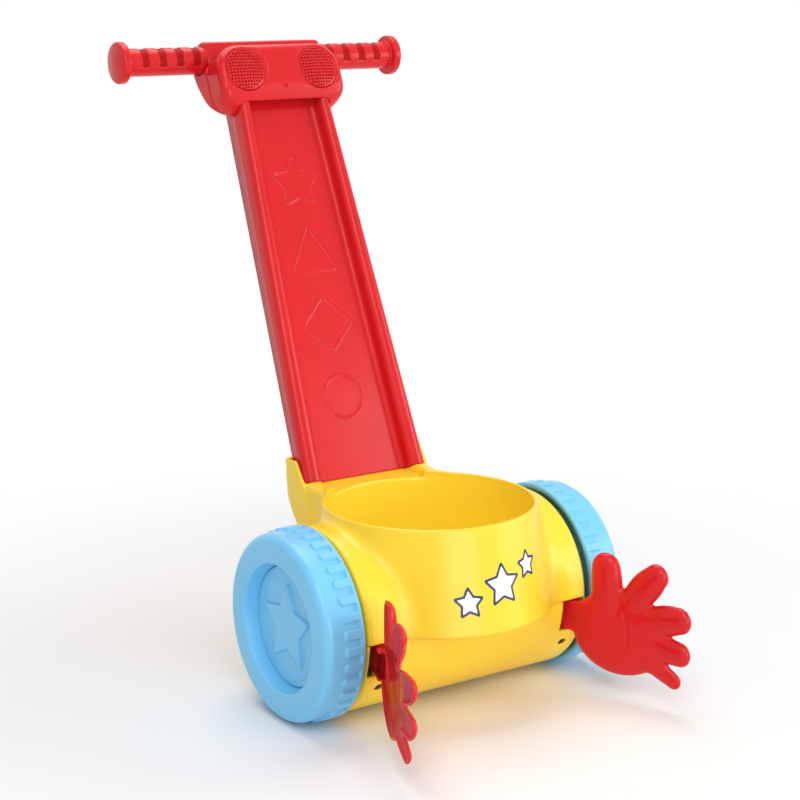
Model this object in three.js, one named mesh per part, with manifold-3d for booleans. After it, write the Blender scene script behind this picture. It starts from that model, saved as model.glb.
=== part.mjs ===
// Ball collecting push walker: a toddler's push toy of moulded plastic.
// A round tub sits on a drum between two wheels, a leaning chute leads balls down into the tub,
// and a handlebar on top of the chute pushes it. Two hinged hands sweep balls together in front.
// Millimetres, +X right, +Y back, +Z up. The child walks behind, at +Y.
import * as THREE from 'three';
import { mergeVertices } from 'three/addons/utils/BufferGeometryUtils.js';
import Module from 'manifold-3d';

const wasm = await Module();
wasm.setup();

// Clearances and common walls
const GAP = 0.3;                    // between pieces that touch
const PRESS_GAP = 0.2;              // round pins and screws in their holes
const RUN_GAP = 0.35;               // round turning bores
const WALL = 3;                     // moulded shells
const THIN_WALL = 2.5;              // chute, hands and head
const BIG = 1000;                   // reach of trimming blocks
const OVERCUT = 1;                  // how far a cut runs past a face
const WELD = 1e-4;                  // corners closer than this are one
const BOSS_SIDES = 8;
const PIN_SIDES = 12;
const CURVE_STEPS = 4;              // chords in one drawn curve

// Wheels and axle
const WHEEL_RADIUS = 83;            // to the flats of the raised band
const WHEEL_WIDTH = 36;
const WHEEL_SPACE = 4.2;            // drum end to wheel
const TYRE_SHOULDER = 7;
const LUG_COUNT = 36;
const LUG_HEIGHT = 1.5;
const LUG_WIDTH = 7.6;
const LUG_REACH = 17;               // from the inner edge of the tread
const LUG_BAND = 3.5;               // raised band that joins the lugs
const HUB_MOUTH = 55;               // radius of the hub recess at the face
const HUB_TAPER = 3;
const HUB_DEPTH = 12.5;             // face of the wheel to face of the cap
const HUB_RADIUS = 14;
const WELL_RADIUS = 11;             // pocket for the push nut
const WELL_DEPTH = 5.5;
const CAP_THICKNESS = 3;
const CAP_SIDES = 24;
const CAP_SPIGOT = 1.1;             // wall of the ring that plugs into the well
const CAP_SPIGOT_DEPTH = 3;
const STAR_RADIUS = 36;
const STAR_WAIST = 0.52;            // inner radius of the star as a share of its outer one
const STAR_HEIGHT = 2.5;
const STAR_BEVEL = 1;
const AXLE_RADIUS = 4;
const AXLE_PROUD = 2.2;             // past the push nut
const NUT_RADIUS = 9;
const NUT_THICKNESS = 2;

// Drum and tub
const DRUM_RADIUS = 80;
const DRUM_HALF = 114.5;
const DRUM_SIDES = 32;
const TUB_SIDES = 32;
const LIP_RADIUS = 104;             // at the seam, where the tub overhangs in front
const LIP_SHIFT = -9.5;             // centre of the lip in front of the axle
const RIM_RADIUS = 94;
const RIM_SHIFT = -2;
const RIM_HEIGHT = 172;
const TUB_WALL = 3.5;
const FLOOR_RISE = 6;               // underside of the tub floor above the seam
const RIB_AT = 70;                  // saddle ribs across the lower shell
const BOSS_WALL = 2.6;
const BODY_SCREW_INSET = 16.5;      // from the drum's end
const BODY_SCREW_DEPTH = 30;        // from the drum's rear
const BODY_SCREW_SEAT = 60;         // height of the ledge that the screw head bears on
const BODY_SCREW_GRIP = 15;         // screw length in the upper shell

// Rear foot, moulded in one with the lower shell
const FOOT_HALF = 34;
const FOOT_BACK = 128;
const FOOT_LENGTH = 24;
const FOOT_TOP = 10;
const FOOT_NECK_DROP = 17;          // top of the foot on the drum, below the axle
const FOOT_ROOT_Y = 48;
const FOOT_LAP = 0.8;               // of the foot's ends past the drum's face

// Chute
const CHUTE_LEAN = THREE.MathUtils.degToRad(22.9);
const CHUTE_Y = 94.5;               // foot of the rail fronts
const CHUTE_Z = 174.3;
const CHUTE_SPAN = 354;             // foot to where it enters the head
const CHUTE_TOP = 372;
const RAIL_OUT_LOW = 64.6;
const RAIL_OUT_HIGH = 48.7;
const RAIL_IN_LOW = 47.5;
const RAIL_IN_HIGH = 36.8;
const RAIL_ROUND = 7;
const RAIL_STEPS = 5;
const CHANNEL_DROP = 15;            // rail fronts to channel floor
const CHANNEL_FILLET = 5;
const FILLET_CORNER = { across: 0.3, up: 0.4 };
const SIDE_DEPTH_LOW = 20;
const SIDE_DEPTH_HIGH = 32;
const TONGUE_DROP = 22;             // part of the chute that sits inside the housing
const TONGUE_LAP = 9;
const SKIN = 1.9;                   // housing front over the tongue
const RIDGE_WIDTH = 1.8;
const RIDGE_HEIGHT = 0.9;
const EMBLEM_RADIUS = { star: 24, triangle: 26, diamond: 25, circle: 20.5 };
const EMBLEM_SIDES = 16;
const EMBLEM_AT = { star: 281, triangle: 210, diamond: 144, circle: 75 };

// Housing behind the tub that takes the foot of the chute
const CHEEK = 3.2;
const CHEEK_STEP = 22;              // cheeks rise this far beside the chute
const CHEEK_FRONT = 5;              // behind the rail fronts
const HOUSING_TOP_Y = 127.4;
const HOUSING_TOP_Z = 189.4;
const HOUSING_BEND_Y = 125;
const HOUSING_BEND_Z = 160;
const HOUSING_PULL_Y = 120;
const HOUSING_PULL_Z = 140;
const HOUSING_LOW_Y = 88;
const HOUSING_LOW_Z = 116;
const HOUSING_ROOT = 75;            // how far the rails run down to the drum
const RAMP_FALL = 2;                // drop of the ledge that leads into the tub
const RAMP_RUN = 24;
const CHUTE_SCREW_X = 30;
const CHUTE_SCREW_AT = 10;
const CHUTE_BOSS_BACK = 23;
const HOUSING_BOSS_BACK = 33;

// Head and handlebar, along the chute
const BAR_AT = 408;
const BAR_BACK = 31;                // behind the rail fronts
const BAR_RADIUS = 9.5;
const BAR_SIDES = 16;
const BAR_WALL = 1.6;
const COLLAR_RADIUS = 17;
const COLLAR_CLEAR = 1.2;           // from the grip to the head's shoulder round it
const COLLAR_HALF = 62;
const HEAD_FRONT = 6;               // in front of the rails
const HEAD_SPLIT = 20;
const HEAD_LOW = 348;
const HEAD_SHOULDER = 402;          // top of the sides beyond the collar
const HEAD_LOW_HALF = 46;           // straight part of the lower edge
const HEAD_BEVEL = 4.5;
const GRILLE_X = 39;
const GRILLE_AT = 386;
const GRILLE_RADIUS = 20.5;
const GRILLE_THICKNESS = 1.6;
const GRILLE_LEDGE = 2.5;
const GRILLE_PITCH = 5;
const GRILLE_HOLE = 2.4;
const GRILLE_SIDES = 24;
const LOW_CORNER = 20;              // corner radii of the face
const HIGH_CORNER = 25;
const HEAD_SCREW_LOW = { x: 57, at: 372 };
const HEAD_SCREW_HIGH = { x: 20, at: 385 };
const HEAD_SCREW_SEAT = 24;         // ledge for the screw head behind the rail fronts
const GRIP_RADIUS = 12.8;
const GRIP_END = 150;
const FLANGE_RADIUS = 19;
const FLANGE_WIDTH = 8;
const FLANGE_DOME = 2;
const FLANGE_CHAMFER = 1;
const GROOVE_COUNT = 4;
const GROOVE_FIRST = 72.5;
const GROOVE_PITCH = 17.5;
const GROOVE_WIDTH = 7.5;
const GROOVE_DEPTH = 2;
const GROOVE_FLOOR = 7;             // grooves stop this far below the bar's axis

// Hands
const PIVOT_INSET = 17.5;           // from the drum's end
const PIVOT_DEPTH = 14;             // from the drum's front
const SPLAY = THREE.MathUtils.degToRad(25);
const ARM_LOW = 55.3;
const ARM_HIGH = 81.7;
const ARM_IN = 5;                   // closed side of the arm, inward of the pin
const ARM_OUT = 3.5;                // open side of the arm, outward of the pin
const ARM_BACK = 8;
const ARM_REACH = 24;
const ARM_PLAY = 0.8;               // above and below the arm in its slot
const SLOT_SIDE = 8.5;              // inner side of the slot from the pin
const SHELF_DEPTH = 14;             // pin shelf behind the pivot
const PIN_RADIUS = 2;
const PIN_RECESS = 3.2;             // pin's foot above the drum's underside
const PIN_LAP = 6;                  // pin length in the upper shell
const HAND_RIM = 1;                 // open back of the hand, inward of the pivot
const FINGER_CURL = 6;              // fingertips turn in by this much
const FINGER_SIDES = 8;
const FINGER_BULGE = 0.72;          // height of a finger as a share of its half width
const PALM_SIDES = 16;
const PALM = { along: 58, up: 60, half: 45.5, tall: 37.5, bulge: 8.5 };
const THUMB = { along: 46, up: 84, tipAlong: 45, tipUp: 117, root: 15, tip: 14.3, curl: 0 };
const FIRST = { along: 72, up: 92, tipAlong: 93, tipUp: 117, root: 12.5, tip: 12.5, curl: FINGER_CURL };
const SECOND = { along: 92, up: 81, tipAlong: 118.5, tipUp: 85, root: 12.5, tip: 12, curl: FINGER_CURL };
const THIRD = { along: 92, up: 57, tipAlong: 120, tipUp: 56, root: 12, tip: 11.4, curl: FINGER_CURL };
const FOURTH = { along: 86, up: 43, tipAlong: 112.5, tipUp: 31, root: 10.5, tip: 9, curl: FINGER_CURL };
const KNUCKLES = { along: 93, up: 76, tipAlong: 97, tipUp: 48, root: 13, tip: 11.5, curl: 0 };
const FINGERS = [THUMB, FIRST, SECOND, THIRD, FOURTH, KNUCKLES];

// Screws
const SCREW_RADIUS = 1.5;
const SCREW_HEAD = 3.3;
const SCREW_HEAD_HEIGHT = 2;
const SCREW_CROWN = 0.7;            // flat top of the head as a share of its radius
const COUNTERBORE = 4;

// Values that follow from the sizes above
const AXLE_Z = WHEEL_RADIUS;
const SEAM_LOW = AXLE_Z - GAP / 2;
const SEAM_HIGH = AXLE_Z + GAP / 2;
const WHEEL_INNER = DRUM_HALF + WHEEL_SPACE;
const CAP_SEAT = WHEEL_WIDTH - HUB_DEPTH - CAP_THICKNESS - GAP;
const WELL_FLOOR = CAP_SEAT - WELL_DEPTH;
const SLOT_LOW = ARM_LOW - ARM_PLAY;
const HEAD_HALF = HEAD_LOW_HALF + LOW_CORNER;
const PIVOT_X = DRUM_HALF - PIVOT_INSET;
const PIVOT_Y = PIVOT_DEPTH - DRUM_RADIUS;
const SLOT_IN = PIVOT_X - SLOT_SIDE;
const SLOT_OUT = DRUM_HALF - THIN_WALL;
const PIN_LOW = AXLE_Z - Math.sqrt(DRUM_RADIUS ** 2 - PIVOT_Y ** 2) + PIN_RECESS;
const PIN_HIGH = AXLE_Z + PIN_LAP;
const FOOT_NECK_Y = Math.sqrt(DRUM_RADIUS ** 2 - FOOT_NECK_DROP ** 2) + FOOT_LAP;
const FOOT_NECK_Z = AXLE_Z - FOOT_NECK_DROP;
const FOOT_ROOT_Z = AXLE_Z - Math.sqrt(DRUM_RADIUS ** 2 - FOOT_ROOT_Y ** 2) + FOOT_LAP;
const BODY_SCREW_X = DRUM_HALF - BODY_SCREW_INSET;
const BODY_SCREW_Y = DRUM_RADIUS - BODY_SCREW_DEPTH;
const TUB_FLOOR = SEAM_HIGH + FLOOR_RISE + WALL;
const SKIN_GAP = SKIN + GAP;        // rail fronts down to the tongue

const yellow = { color: 0xffd226, roughness: 0.34, metalness: 0 };
const red = { color: 0xe2211f, roughness: 0.3, metalness: 0 };
const blue = { color: 0x74c6f4, roughness: 0.36, metalness: 0 };
const steel = { color: 0xb9bcc0, roughness: 0.28, metalness: 1 };

// Solids from geometry, and their joins and cuts
function solid(geometry) {
  const bare = geometry.clone();
  bare.deleteAttribute('normal');
  bare.deleteAttribute('uv');
  const welded = mergeVertices(bare, WELD);
  const at = welded.attributes.position;
  const corners = [];
  let volume = 0;
  for (let i = 0; i < welded.index.count; i += 3) {
    const [a, b, c] = [0, 1, 2].map((k) => welded.index.getX(i + k));
    if (a === b || b === c || c === a) continue;
    const [p, q, r] = [a, b, c].map((k) => new THREE.Vector3().fromBufferAttribute(at, k));
    volume += p.dot(q.cross(r));
    corners.push(a, b, c);
  }
  if (volume < 0) corners.reverse();
  const vertProperties = new Float32Array(at.array);
  const triVerts = new Uint32Array(corners);
  return new wasm.Manifold(new wasm.Mesh({ numProp: 3, vertProperties, triVerts }));
}

function geometryOf(manifold) {
  const mesh = manifold.getMesh();
  const geometry = new THREE.BufferGeometry();
  geometry.setAttribute('position', new THREE.BufferAttribute(mesh.vertProperties, 3));
  geometry.setIndex(new THREE.BufferAttribute(mesh.triVerts, 1));
  geometry.computeVertexNormals();
  return geometry;
}

const joined = (first, ...rest) => rest.reduce((sum, one) => sum.add(one), first);
const cut = (first, ...rest) => rest.reduce((left, one) => left.subtract(one), first);

function moved(manifold, matrix) {
  const geometry = geometryOf(manifold);
  geometry.applyMatrix4(matrix);
  return solid(geometry);
}

const MIRROR = new THREE.Matrix4().makeScale(-1, 1, 1);
const bothSides = (manifold) => manifold.add(moved(manifold, MIRROR));

function block(x0, x1, y0, y1, z0, z1) {
  const box = new THREE.BoxGeometry(x1 - x0, y1 - y0, z1 - z0);
  box.translate((x0 + x1) / 2, (y0 + y1) / 2, (z0 + z1) / 2);
  return solid(box);
}

// A round rod along x, y or z through the point given by the other two coordinates
function rod(axis, radius, from, to, centre, sides = BOSS_SIDES) {
  const geometry = new THREE.CylinderGeometry(radius, radius, to - from, sides);
  geometry.translate(0, (from + to) / 2, 0);
  if (axis === 'x') geometry.rotateZ(-Math.PI / 2).translate(0, centre[0], centre[1]);
  if (axis === 'y') geometry.translate(centre[0], 0, centre[1]);
  if (axis === 'z') geometry.rotateX(Math.PI / 2).translate(centre[0], centre[1], 0);
  return solid(geometry);
}

// A closed profile of [radius, along] points turned about the y axis
function turned(profile, sides, start = 0) {
  const points = profile.map(([radius, along]) => new THREE.Vector2(radius, along));
  if (profile[0][0] > 0) points.push(points[0].clone());
  return solid(new THREE.LatheGeometry(points, sides, start));
}

const vectors = (points) => points.map(([x, y]) => new THREE.Vector2(x, y));

function prism(points, from, to) {
  const shape = new THREE.Shape(points);
  const geometry = new THREE.ExtrudeGeometry(shape, { depth: to - from, bevelEnabled: false });
  geometry.translate(0, 0, from);
  return solid(geometry);
}

// An outline in the y, z plane, drawn out along x
const AWAY_FROM_SIDE = new THREE.Matrix4().makeBasis(
  new THREE.Vector3(0, 1, 0), new THREE.Vector3(0, 0, 1), new THREE.Vector3(1, 0, 0));
const sidePrism = (points, from, to) => moved(prism(points, from, to), AWAY_FROM_SIDE);

// Straight skin between closed sections of equal count; lift places a section's point in space
function loft(sections, lift) {
  const count = sections[0].points.length;
  const clockwise = THREE.ShapeUtils.isClockWise(sections[0].points);
  const rings = sections.map(({ points, at }) => {
    const ordered = clockwise ? [...points].reverse() : points;
    return { ordered, at };
  });
  const positions = rings.flatMap(({ ordered, at }) => ordered.flatMap((p) => lift(p, at).toArray()));
  const index = [];
  for (let k = 0; k + 1 < rings.length; k += 1) {
    for (let i = 0; i < count; i += 1) {
      const j = (i + 1) % count;
      const [a, b, c, d] = [k * count + i, k * count + j, (k + 1) * count + j, (k + 1) * count + i];
      index.push(a, b, c, a, c, d);
    }
  }
  const last = (rings.length - 1) * count;
  for (const [a, b, c] of THREE.ShapeUtils.triangulateShape(rings[0].ordered, [])) index.push(c, b, a);
  for (const [a, b, c] of THREE.ShapeUtils.triangulateShape(rings.at(-1).ordered, [])) {
    index.push(last + a, last + b, last + c);
  }
  const geometry = new THREE.BufferGeometry();
  geometry.setAttribute('position', new THREE.Float32BufferAttribute(positions, 3));
  geometry.setIndex(index);
  return solid(geometry);
}

// A path moved sideways to its left by a distance, with mitred corners
function offsetPath(path, distance, closed = false) {
  const count = path.length;
  const leftOf = (a, b) => {
    const along = b.clone().sub(a).normalize();
    return new THREE.Vector2(-along.y, along.x);
  };
  return path.map((point, i) => {
    const before = closed || i > 0 ? leftOf(path[(i + count - 1) % count], point) : null;
    const after = closed || i < count - 1 ? leftOf(point, path[(i + 1) % count]) : null;
    const one = before ?? after;
    const other = after ?? before;
    const mitre = one.clone().add(other);
    mitre.multiplyScalar(2 / mitre.lengthSq());
    return point.clone().addScaledVector(mitre, distance);
  });
}

function outlineOf(shape) {
  const points = shape.getPoints(CURVE_STEPS);
  const kept = points.filter((p, i) => i === 0 || p.distanceTo(points[i - 1]) > WELD);
  if (kept[0].distanceTo(kept.at(-1)) < WELD) kept.pop();
  return THREE.ShapeUtils.isClockWise(kept) ? kept.reverse() : kept;
}

// A pan-headed screw standing on the origin of its own axis, shank up along y
function screw(length) {
  const crown = SCREW_HEAD * SCREW_CROWN;
  return turned([[0, -SCREW_HEAD_HEIGHT], [crown, -SCREW_HEAD_HEIGHT], [SCREW_HEAD, -SCREW_HEAD_HEIGHT / 2],
    [SCREW_HEAD, 0], [SCREW_RADIUS, 0], [SCREW_RADIUS, length - SCREW_RADIUS], [0, length]], BOSS_SIDES);
}

const pieces = new THREE.Group();
const chuteFrame = new THREE.Group();
chuteFrame.position.set(0, CHUTE_Y, CHUTE_Z);
chuteFrame.rotation.x = Math.PI / 2 - CHUTE_LEAN;
pieces.add(chuteFrame);
chuteFrame.updateMatrix();

function add(group, name, manifold, finish) {
  const mesh = new THREE.Mesh(geometryOf(manifold), new THREE.MeshStandardMaterial(finish));
  mesh.name = name;
  group.add(mesh);
  return mesh;
}

// The left piece is the mirror image of the right one
function addPair(group, name, manifold, finish) {
  add(group, `${name}_right`, manifold, finish);
  add(group, `${name}_left`, moved(manifold, MIRROR), finish);
}

// Chute section: x across, y in front of the rail fronts, from the right back edge to the left one
function channelPath(outer, inner, depth) {
  const middle = (outer + inner) / 2;
  const half = (outer - inner) / 2;
  const right = [[outer, -depth]];
  for (let i = 0; i <= RAIL_STEPS; i += 1) {
    const turn = (Math.PI * i) / RAIL_STEPS;
    right.push([middle + half * Math.cos(turn), RAIL_ROUND * (Math.sin(turn) - 1)]);
  }
  const corner = [CHANNEL_FILLET * FILLET_CORNER.across, CHANNEL_FILLET * FILLET_CORNER.up];
  right.push([inner - corner[0], corner[1] - CHANNEL_DROP]);
  right.push([inner - CHANNEL_FILLET, -CHANNEL_DROP]);
  const left = right.map(([x, y]) => [-x, y]).reverse();
  return vectors([...right, ...left]);
}

const taper = (low, high, at) => THREE.MathUtils.lerp(low, high, Math.max(at, 0) / CHUTE_SPAN);

// The channel between two depths under its surface; without an inner depth it is filled to the back
function channel(from, to, outside, inside) {
  const sections = [from, to].map((at) => {
    const depth = taper(SIDE_DEPTH_LOW, SIDE_DEPTH_HIGH, at);
    const outer = taper(RAIL_OUT_LOW, RAIL_OUT_HIGH, at);
    const inner = taper(RAIL_IN_LOW, RAIL_IN_HIGH, at);
    const path = channelPath(outer, inner, depth);
    const top = offsetPath(path, outside);
    const back = inside === undefined ? [] : offsetPath(path, inside).reverse();
    return { at, points: [...top, ...back] };
  });
  return loft(sections, (p, at) => new THREE.Vector3(p.x, at, p.y));
}

const inChuteFrame = (manifold) => moved(manifold, chuteFrame.matrix);

// A point of the chute's middle plane in the y, z plane: along the chute and in front of the rails
function onChute(along, front) {
  const point = new THREE.Vector3(0, along, front).applyMatrix4(chuteFrame.matrix);
  return new THREE.Vector2(point.y, point.z);
}

// Wheel: hollow from the body side, with a tapered hub recess, turned from one closed profile
function wheelSolid() {
  const tread = WHEEL_RADIUS - LUG_HEIGHT;
  const face = WHEEL_WIDTH;
  const seatRadius = HUB_MOUTH - HUB_TAPER;
  const web = CAP_SEAT - WALL;
  const shoulder = tread - TYRE_SHOULDER;
  const round = TYRE_SHOULDER * (1 - Math.SQRT1_2);
  const bore = AXLE_RADIUS + RUN_GAP;
  const band = WHEEL_RADIUS / Math.cos(Math.PI / LUG_COUNT);
  const profile = [
    [bore, GAP - WHEEL_SPACE], [HUB_RADIUS, GAP - WHEEL_SPACE], [HUB_RADIUS, web],
    [seatRadius + WALL, web], [HUB_MOUTH + WALL, face - WALL], [tread - WALL, face - TYRE_SHOULDER],
    [tread - WALL, 0], [band, 0], [band, LUG_BAND], [tread, LUG_BAND],
    [tread, face - TYRE_SHOULDER], [tread - round, face - round], [shoulder, face], [HUB_MOUTH, face],
    [seatRadius, CAP_SEAT], [WELL_RADIUS, CAP_SEAT], [WELL_RADIUS, WELL_FLOOR], [bore, WELL_FLOOR],
  ];
  const body = turned(profile, LUG_COUNT, Math.PI / LUG_COUNT);
  const half = LUG_WIDTH / 2;
  const pad = vectors([[-half, LUG_BAND - OVERCUT], [half, LUG_BAND - OVERCUT], [half, LUG_REACH - half],
    [half / 2, LUG_REACH], [-half / 2, LUG_REACH], [-half, LUG_REACH - half]]);
  const lug = geometryOf(prism(pad, tread - WALL / 2, WHEEL_RADIUS - PRESS_GAP));
  const lugs = [];
  for (let i = 0; i < LUG_COUNT; i += 1) {
    lugs.push(solid(lug.clone().rotateY((2 * Math.PI * i) / LUG_COUNT)));
  }
  const place = new THREE.Matrix4().makeRotationZ(-Math.PI / 2).setPosition(WHEEL_INNER, 0, AXLE_Z);
  return moved(joined(body, ...lugs), place);
}

// A star's corners, point up
function starPoints(radius, waist, points = 5) {
  const corners = [];
  for (let i = 0; i < 2 * points; i += 1) {
    const reach = i % 2 ? radius * waist : radius;
    const turn = Math.PI / 2 + (Math.PI * i) / points;
    corners.push([reach * Math.cos(turn), reach * Math.sin(turn)]);
  }
  return vectors(corners);
}

// Hub cap: a disc with a raised star, plugged into the wheel's well by a ring
function hubCapSolid() {
  const back = CAP_SEAT + GAP;
  const front = back + CAP_THICKNESS;
  const radius = HUB_MOUTH - HUB_TAPER - GAP;
  const ring = WELL_RADIUS - PRESS_GAP;
  const disc = turned([[0, back], [ring - CAP_SPIGOT, back], [ring - CAP_SPIGOT, back - CAP_SPIGOT_DEPTH],
    [ring, back - CAP_SPIGOT_DEPTH], [ring, back], [radius, back], [radius, front], [0, front]], CAP_SIDES);
  const star = new THREE.ExtrudeGeometry(new THREE.Shape(starPoints(STAR_RADIUS, STAR_WAIST)), {
    depth: STAR_HEIGHT, bevelThickness: STAR_BEVEL, bevelSize: STAR_BEVEL, bevelOffset: -STAR_BEVEL,
    bevelSegments: 1,
  });
  star.rotateY(Math.PI).rotateX(Math.PI / 2).translate(0, front - STAR_BEVEL, 0);
  const place = new THREE.Matrix4().makeRotationZ(-Math.PI / 2).setPosition(WHEEL_INNER, 0, AXLE_Z);
  return moved(disc.add(solid(star)), place);
}

function pushNutSolid() {
  const inner = WHEEL_INNER + WELL_FLOOR + GAP;
  const ring = rod('x', NUT_RADIUS, inner, inner + NUT_THICKNESS, [0, AXLE_Z], PIN_SIDES);
  return cut(ring, rod('x', AXLE_RADIUS + PRESS_GAP, -BIG, BIG, [0, AXLE_Z], PIN_SIDES));
}

function axleSolid() {
  const end = WHEEL_INNER + WELL_FLOOR + GAP + NUT_THICKNESS + AXLE_PROUD;
  return rod('x', AXLE_RADIUS, -end, end, [0, AXLE_Z], PIN_SIDES);
}

// Tub: a leaning cone between the lip at the seam and the rim, a wall's width smaller inside
function tub(from, to, inset) {
  const sections = [from, to].map((at) => {
    const share = (at - SEAM_HIGH) / (RIM_HEIGHT - SEAM_HIGH);
    const radius = THREE.MathUtils.lerp(LIP_RADIUS, RIM_RADIUS, share) - inset;
    const shift = THREE.MathUtils.lerp(LIP_SHIFT, RIM_SHIFT, share);
    const points = [];
    for (let i = 0; i < TUB_SIDES; i += 1) {
      const turn = (2 * Math.PI * i) / TUB_SIDES;
      points.push(new THREE.Vector2(radius * Math.cos(turn), shift + radius * Math.sin(turn)));
    }
    return { at, points };
  });
  return loft(sections, (p, at) => new THREE.Vector3(p.x, p.y, at));
}

const below = (z) => block(-BIG, BIG, -BIG, BIG, -BIG, z);
const above = (z) => block(-BIG, BIG, -BIG, BIG, z, BIG);
const drum = (radius, half) => rod('x', radius, -half, half, [0, AXLE_Z], DRUM_SIDES);

// The rear curve of the chute housing, from the top down to the drum
function housingBack() {
  const shape = new THREE.Shape();
  shape.moveTo(HOUSING_TOP_Y, HOUSING_TOP_Z);
  shape.lineTo(HOUSING_BEND_Y, HOUSING_BEND_Z);
  shape.quadraticCurveTo(HOUSING_PULL_Y, HOUSING_PULL_Z, HOUSING_LOW_Y, HOUSING_LOW_Z);
  return shape.getPoints(CURVE_STEPS);
}

// Housing: rails that run on from the chute, cheeks outside them, a back wall and a ledge into the tub
function housingSolid() {
  const back = housingBack();
  const cheekOut = RAIL_OUT_LOW + GAP + CHEEK;
  const root = onChute(-HOUSING_ROOT, -CHEEK_FRONT);
  const foot = onChute(-GAP, -CHEEK_FRONT);
  const lowCheek = sidePrism([root, foot, onChute(-GAP, -SIDE_DEPTH_LOW), ...back.slice(1)],
    RAIL_OUT_LOW - SKIN / 2, cheekOut);
  const highCheek = sidePrism([root, foot, onChute(CHEEK_STEP, -2 * CHEEK_FRONT), ...back],
    RAIL_OUT_LOW + GAP, cheekOut);
  const cheeks = bothSides(joined(lowCheek, highCheek));
  const wall = sidePrism([...back, ...offsetPath(back, -WALL).reverse()], -cheekOut, cheekOut);
  const rails = cut(channel(-HOUSING_ROOT, -GAP, 0, SKIN),
    block(CHANNEL_FILLET - RAIL_IN_LOW, RAIL_IN_LOW - CHANNEL_FILLET, -BIG, -2 * SKIN, -BIG, 0));
  const top = onChute(-GAP, -CHANNEL_DROP);
  const end = new THREE.Vector2(top.x - RAMP_RUN, top.y - RAMP_FALL);
  const under = new THREE.Vector2(0, -THIN_WALL);
  const ramp = sidePrism([top, end, end.clone().add(under), top.clone().add(under)],
    -RAIL_IN_LOW, RAIL_IN_LOW);
  const bosses = bothSides(rod('z', SCREW_RADIUS + BOSS_WALL, -HOUSING_BOSS_BACK, -CHUTE_BOSS_BACK - GAP,
    [CHUTE_SCREW_X, CHUTE_SCREW_AT]));
  const holes = bothSides(rod('z', SCREW_RADIUS + PRESS_GAP, -BIG, 0, [CHUTE_SCREW_X, CHUTE_SCREW_AT]));
  const tongueRoom = channel(-TONGUE_DROP - GAP, TONGUE_LAP + GAP, SKIN);
  const whole = joined(cheeks, wall, ramp, inChuteFrame(joined(rails, bosses)));
  const frame = cut(whole, inChuteFrame(joined(tongueRoom, holes)));
  const mouth = sidePrism([top, end, new THREE.Vector2(end.x, BIG), new THREE.Vector2(top.x, BIG)],
    CHANNEL_FILLET - RAIL_IN_LOW, RAIL_IN_LOW - CHANNEL_FILLET);
  return { frame, mouth };
}

// Upper shell: drum roof, tub and chute housing in one moulding, open underneath
function upperShellSolid() {
  const { frame, mouth } = housingSolid();
  const roof = cut(drum(DRUM_RADIUS, DRUM_HALF), below(SEAM_HIGH));
  const outside = tub(SEAM_HIGH, RIM_HEIGHT, 0);
  const sides = cut(drum(DRUM_RADIUS - WALL, DRUM_HALF - WALL), outside);
  const inside = tub(TUB_FLOOR, RIM_HEIGHT + WALL, TUB_WALL);
  const hollow = tub(SEAM_HIGH - OVERCUT, TUB_FLOOR - WALL, TUB_WALL);
  const shell = cut(joined(roof, outside, cut(frame, below(SEAM_HIGH))), sides, inside, hollow, mouth);
  const shelf = block(SLOT_IN, DRUM_HALF - WALL / 2, -BIG, PIVOT_Y + SHELF_DEPTH, SEAM_HIGH, PIN_HIGH + WALL)
    .intersect(drum(DRUM_RADIUS - WALL / 2, DRUM_HALF));
  const boss = rod('z', SCREW_RADIUS + BOSS_WALL, SEAM_HIGH, BIG, [BODY_SCREW_X, BODY_SCREW_Y])
    .intersect(drum(DRUM_RADIUS - WALL / 2, DRUM_HALF));
  const pinHole = rod('z', PIN_RADIUS + PRESS_GAP, 0, PIN_HIGH + GAP, [PIVOT_X, PIVOT_Y], PIN_SIDES);
  const screwHole = rod('z', SCREW_RADIUS + PRESS_GAP, 0, SEAM_HIGH + BODY_SCREW_GRIP + OVERCUT,
    [BODY_SCREW_X, BODY_SCREW_Y]);
  const saddle = rod('x', AXLE_RADIUS + PRESS_GAP, -BIG, BIG, [0, AXLE_Z], PIN_SIDES);
  return cut(joined(shell, bothSides(joined(shelf, boss))), bothSides(joined(pinHole, screwHole)), saddle);
}

// Foot outline in the y, z plane, and the hollow under it
function footSolid() {
  const shape = new THREE.Shape();
  shape.moveTo(FOOT_NECK_Y, FOOT_NECK_Z);
  shape.quadraticCurveTo(FOOT_BACK - FOOT_LENGTH, FOOT_TOP + FOOT_LENGTH, FOOT_BACK, FOOT_TOP);
  shape.lineTo(FOOT_BACK, 0);
  shape.lineTo(FOOT_BACK - FOOT_LENGTH, 0);
  shape.quadraticCurveTo(FOOT_BACK - 2 * FOOT_LENGTH, FOOT_TOP / 2, FOOT_ROOT_Y, FOOT_ROOT_Z);
  const outline = outlineOf(shape);
  const outside = sidePrism(outline, -FOOT_HALF, FOOT_HALF);
  const inside = sidePrism(offsetPath(outline, WALL, true), WALL - FOOT_HALF, FOOT_HALF - WALL);
  const open = block(WALL - FOOT_HALF, FOOT_HALF - WALL, FOOT_ROOT_Y + WALL, FOOT_BACK - FOOT_LENGTH - WALL,
    0, FOOT_ROOT_Z);
  return cut(outside, joined(inside, open));
}

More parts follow.
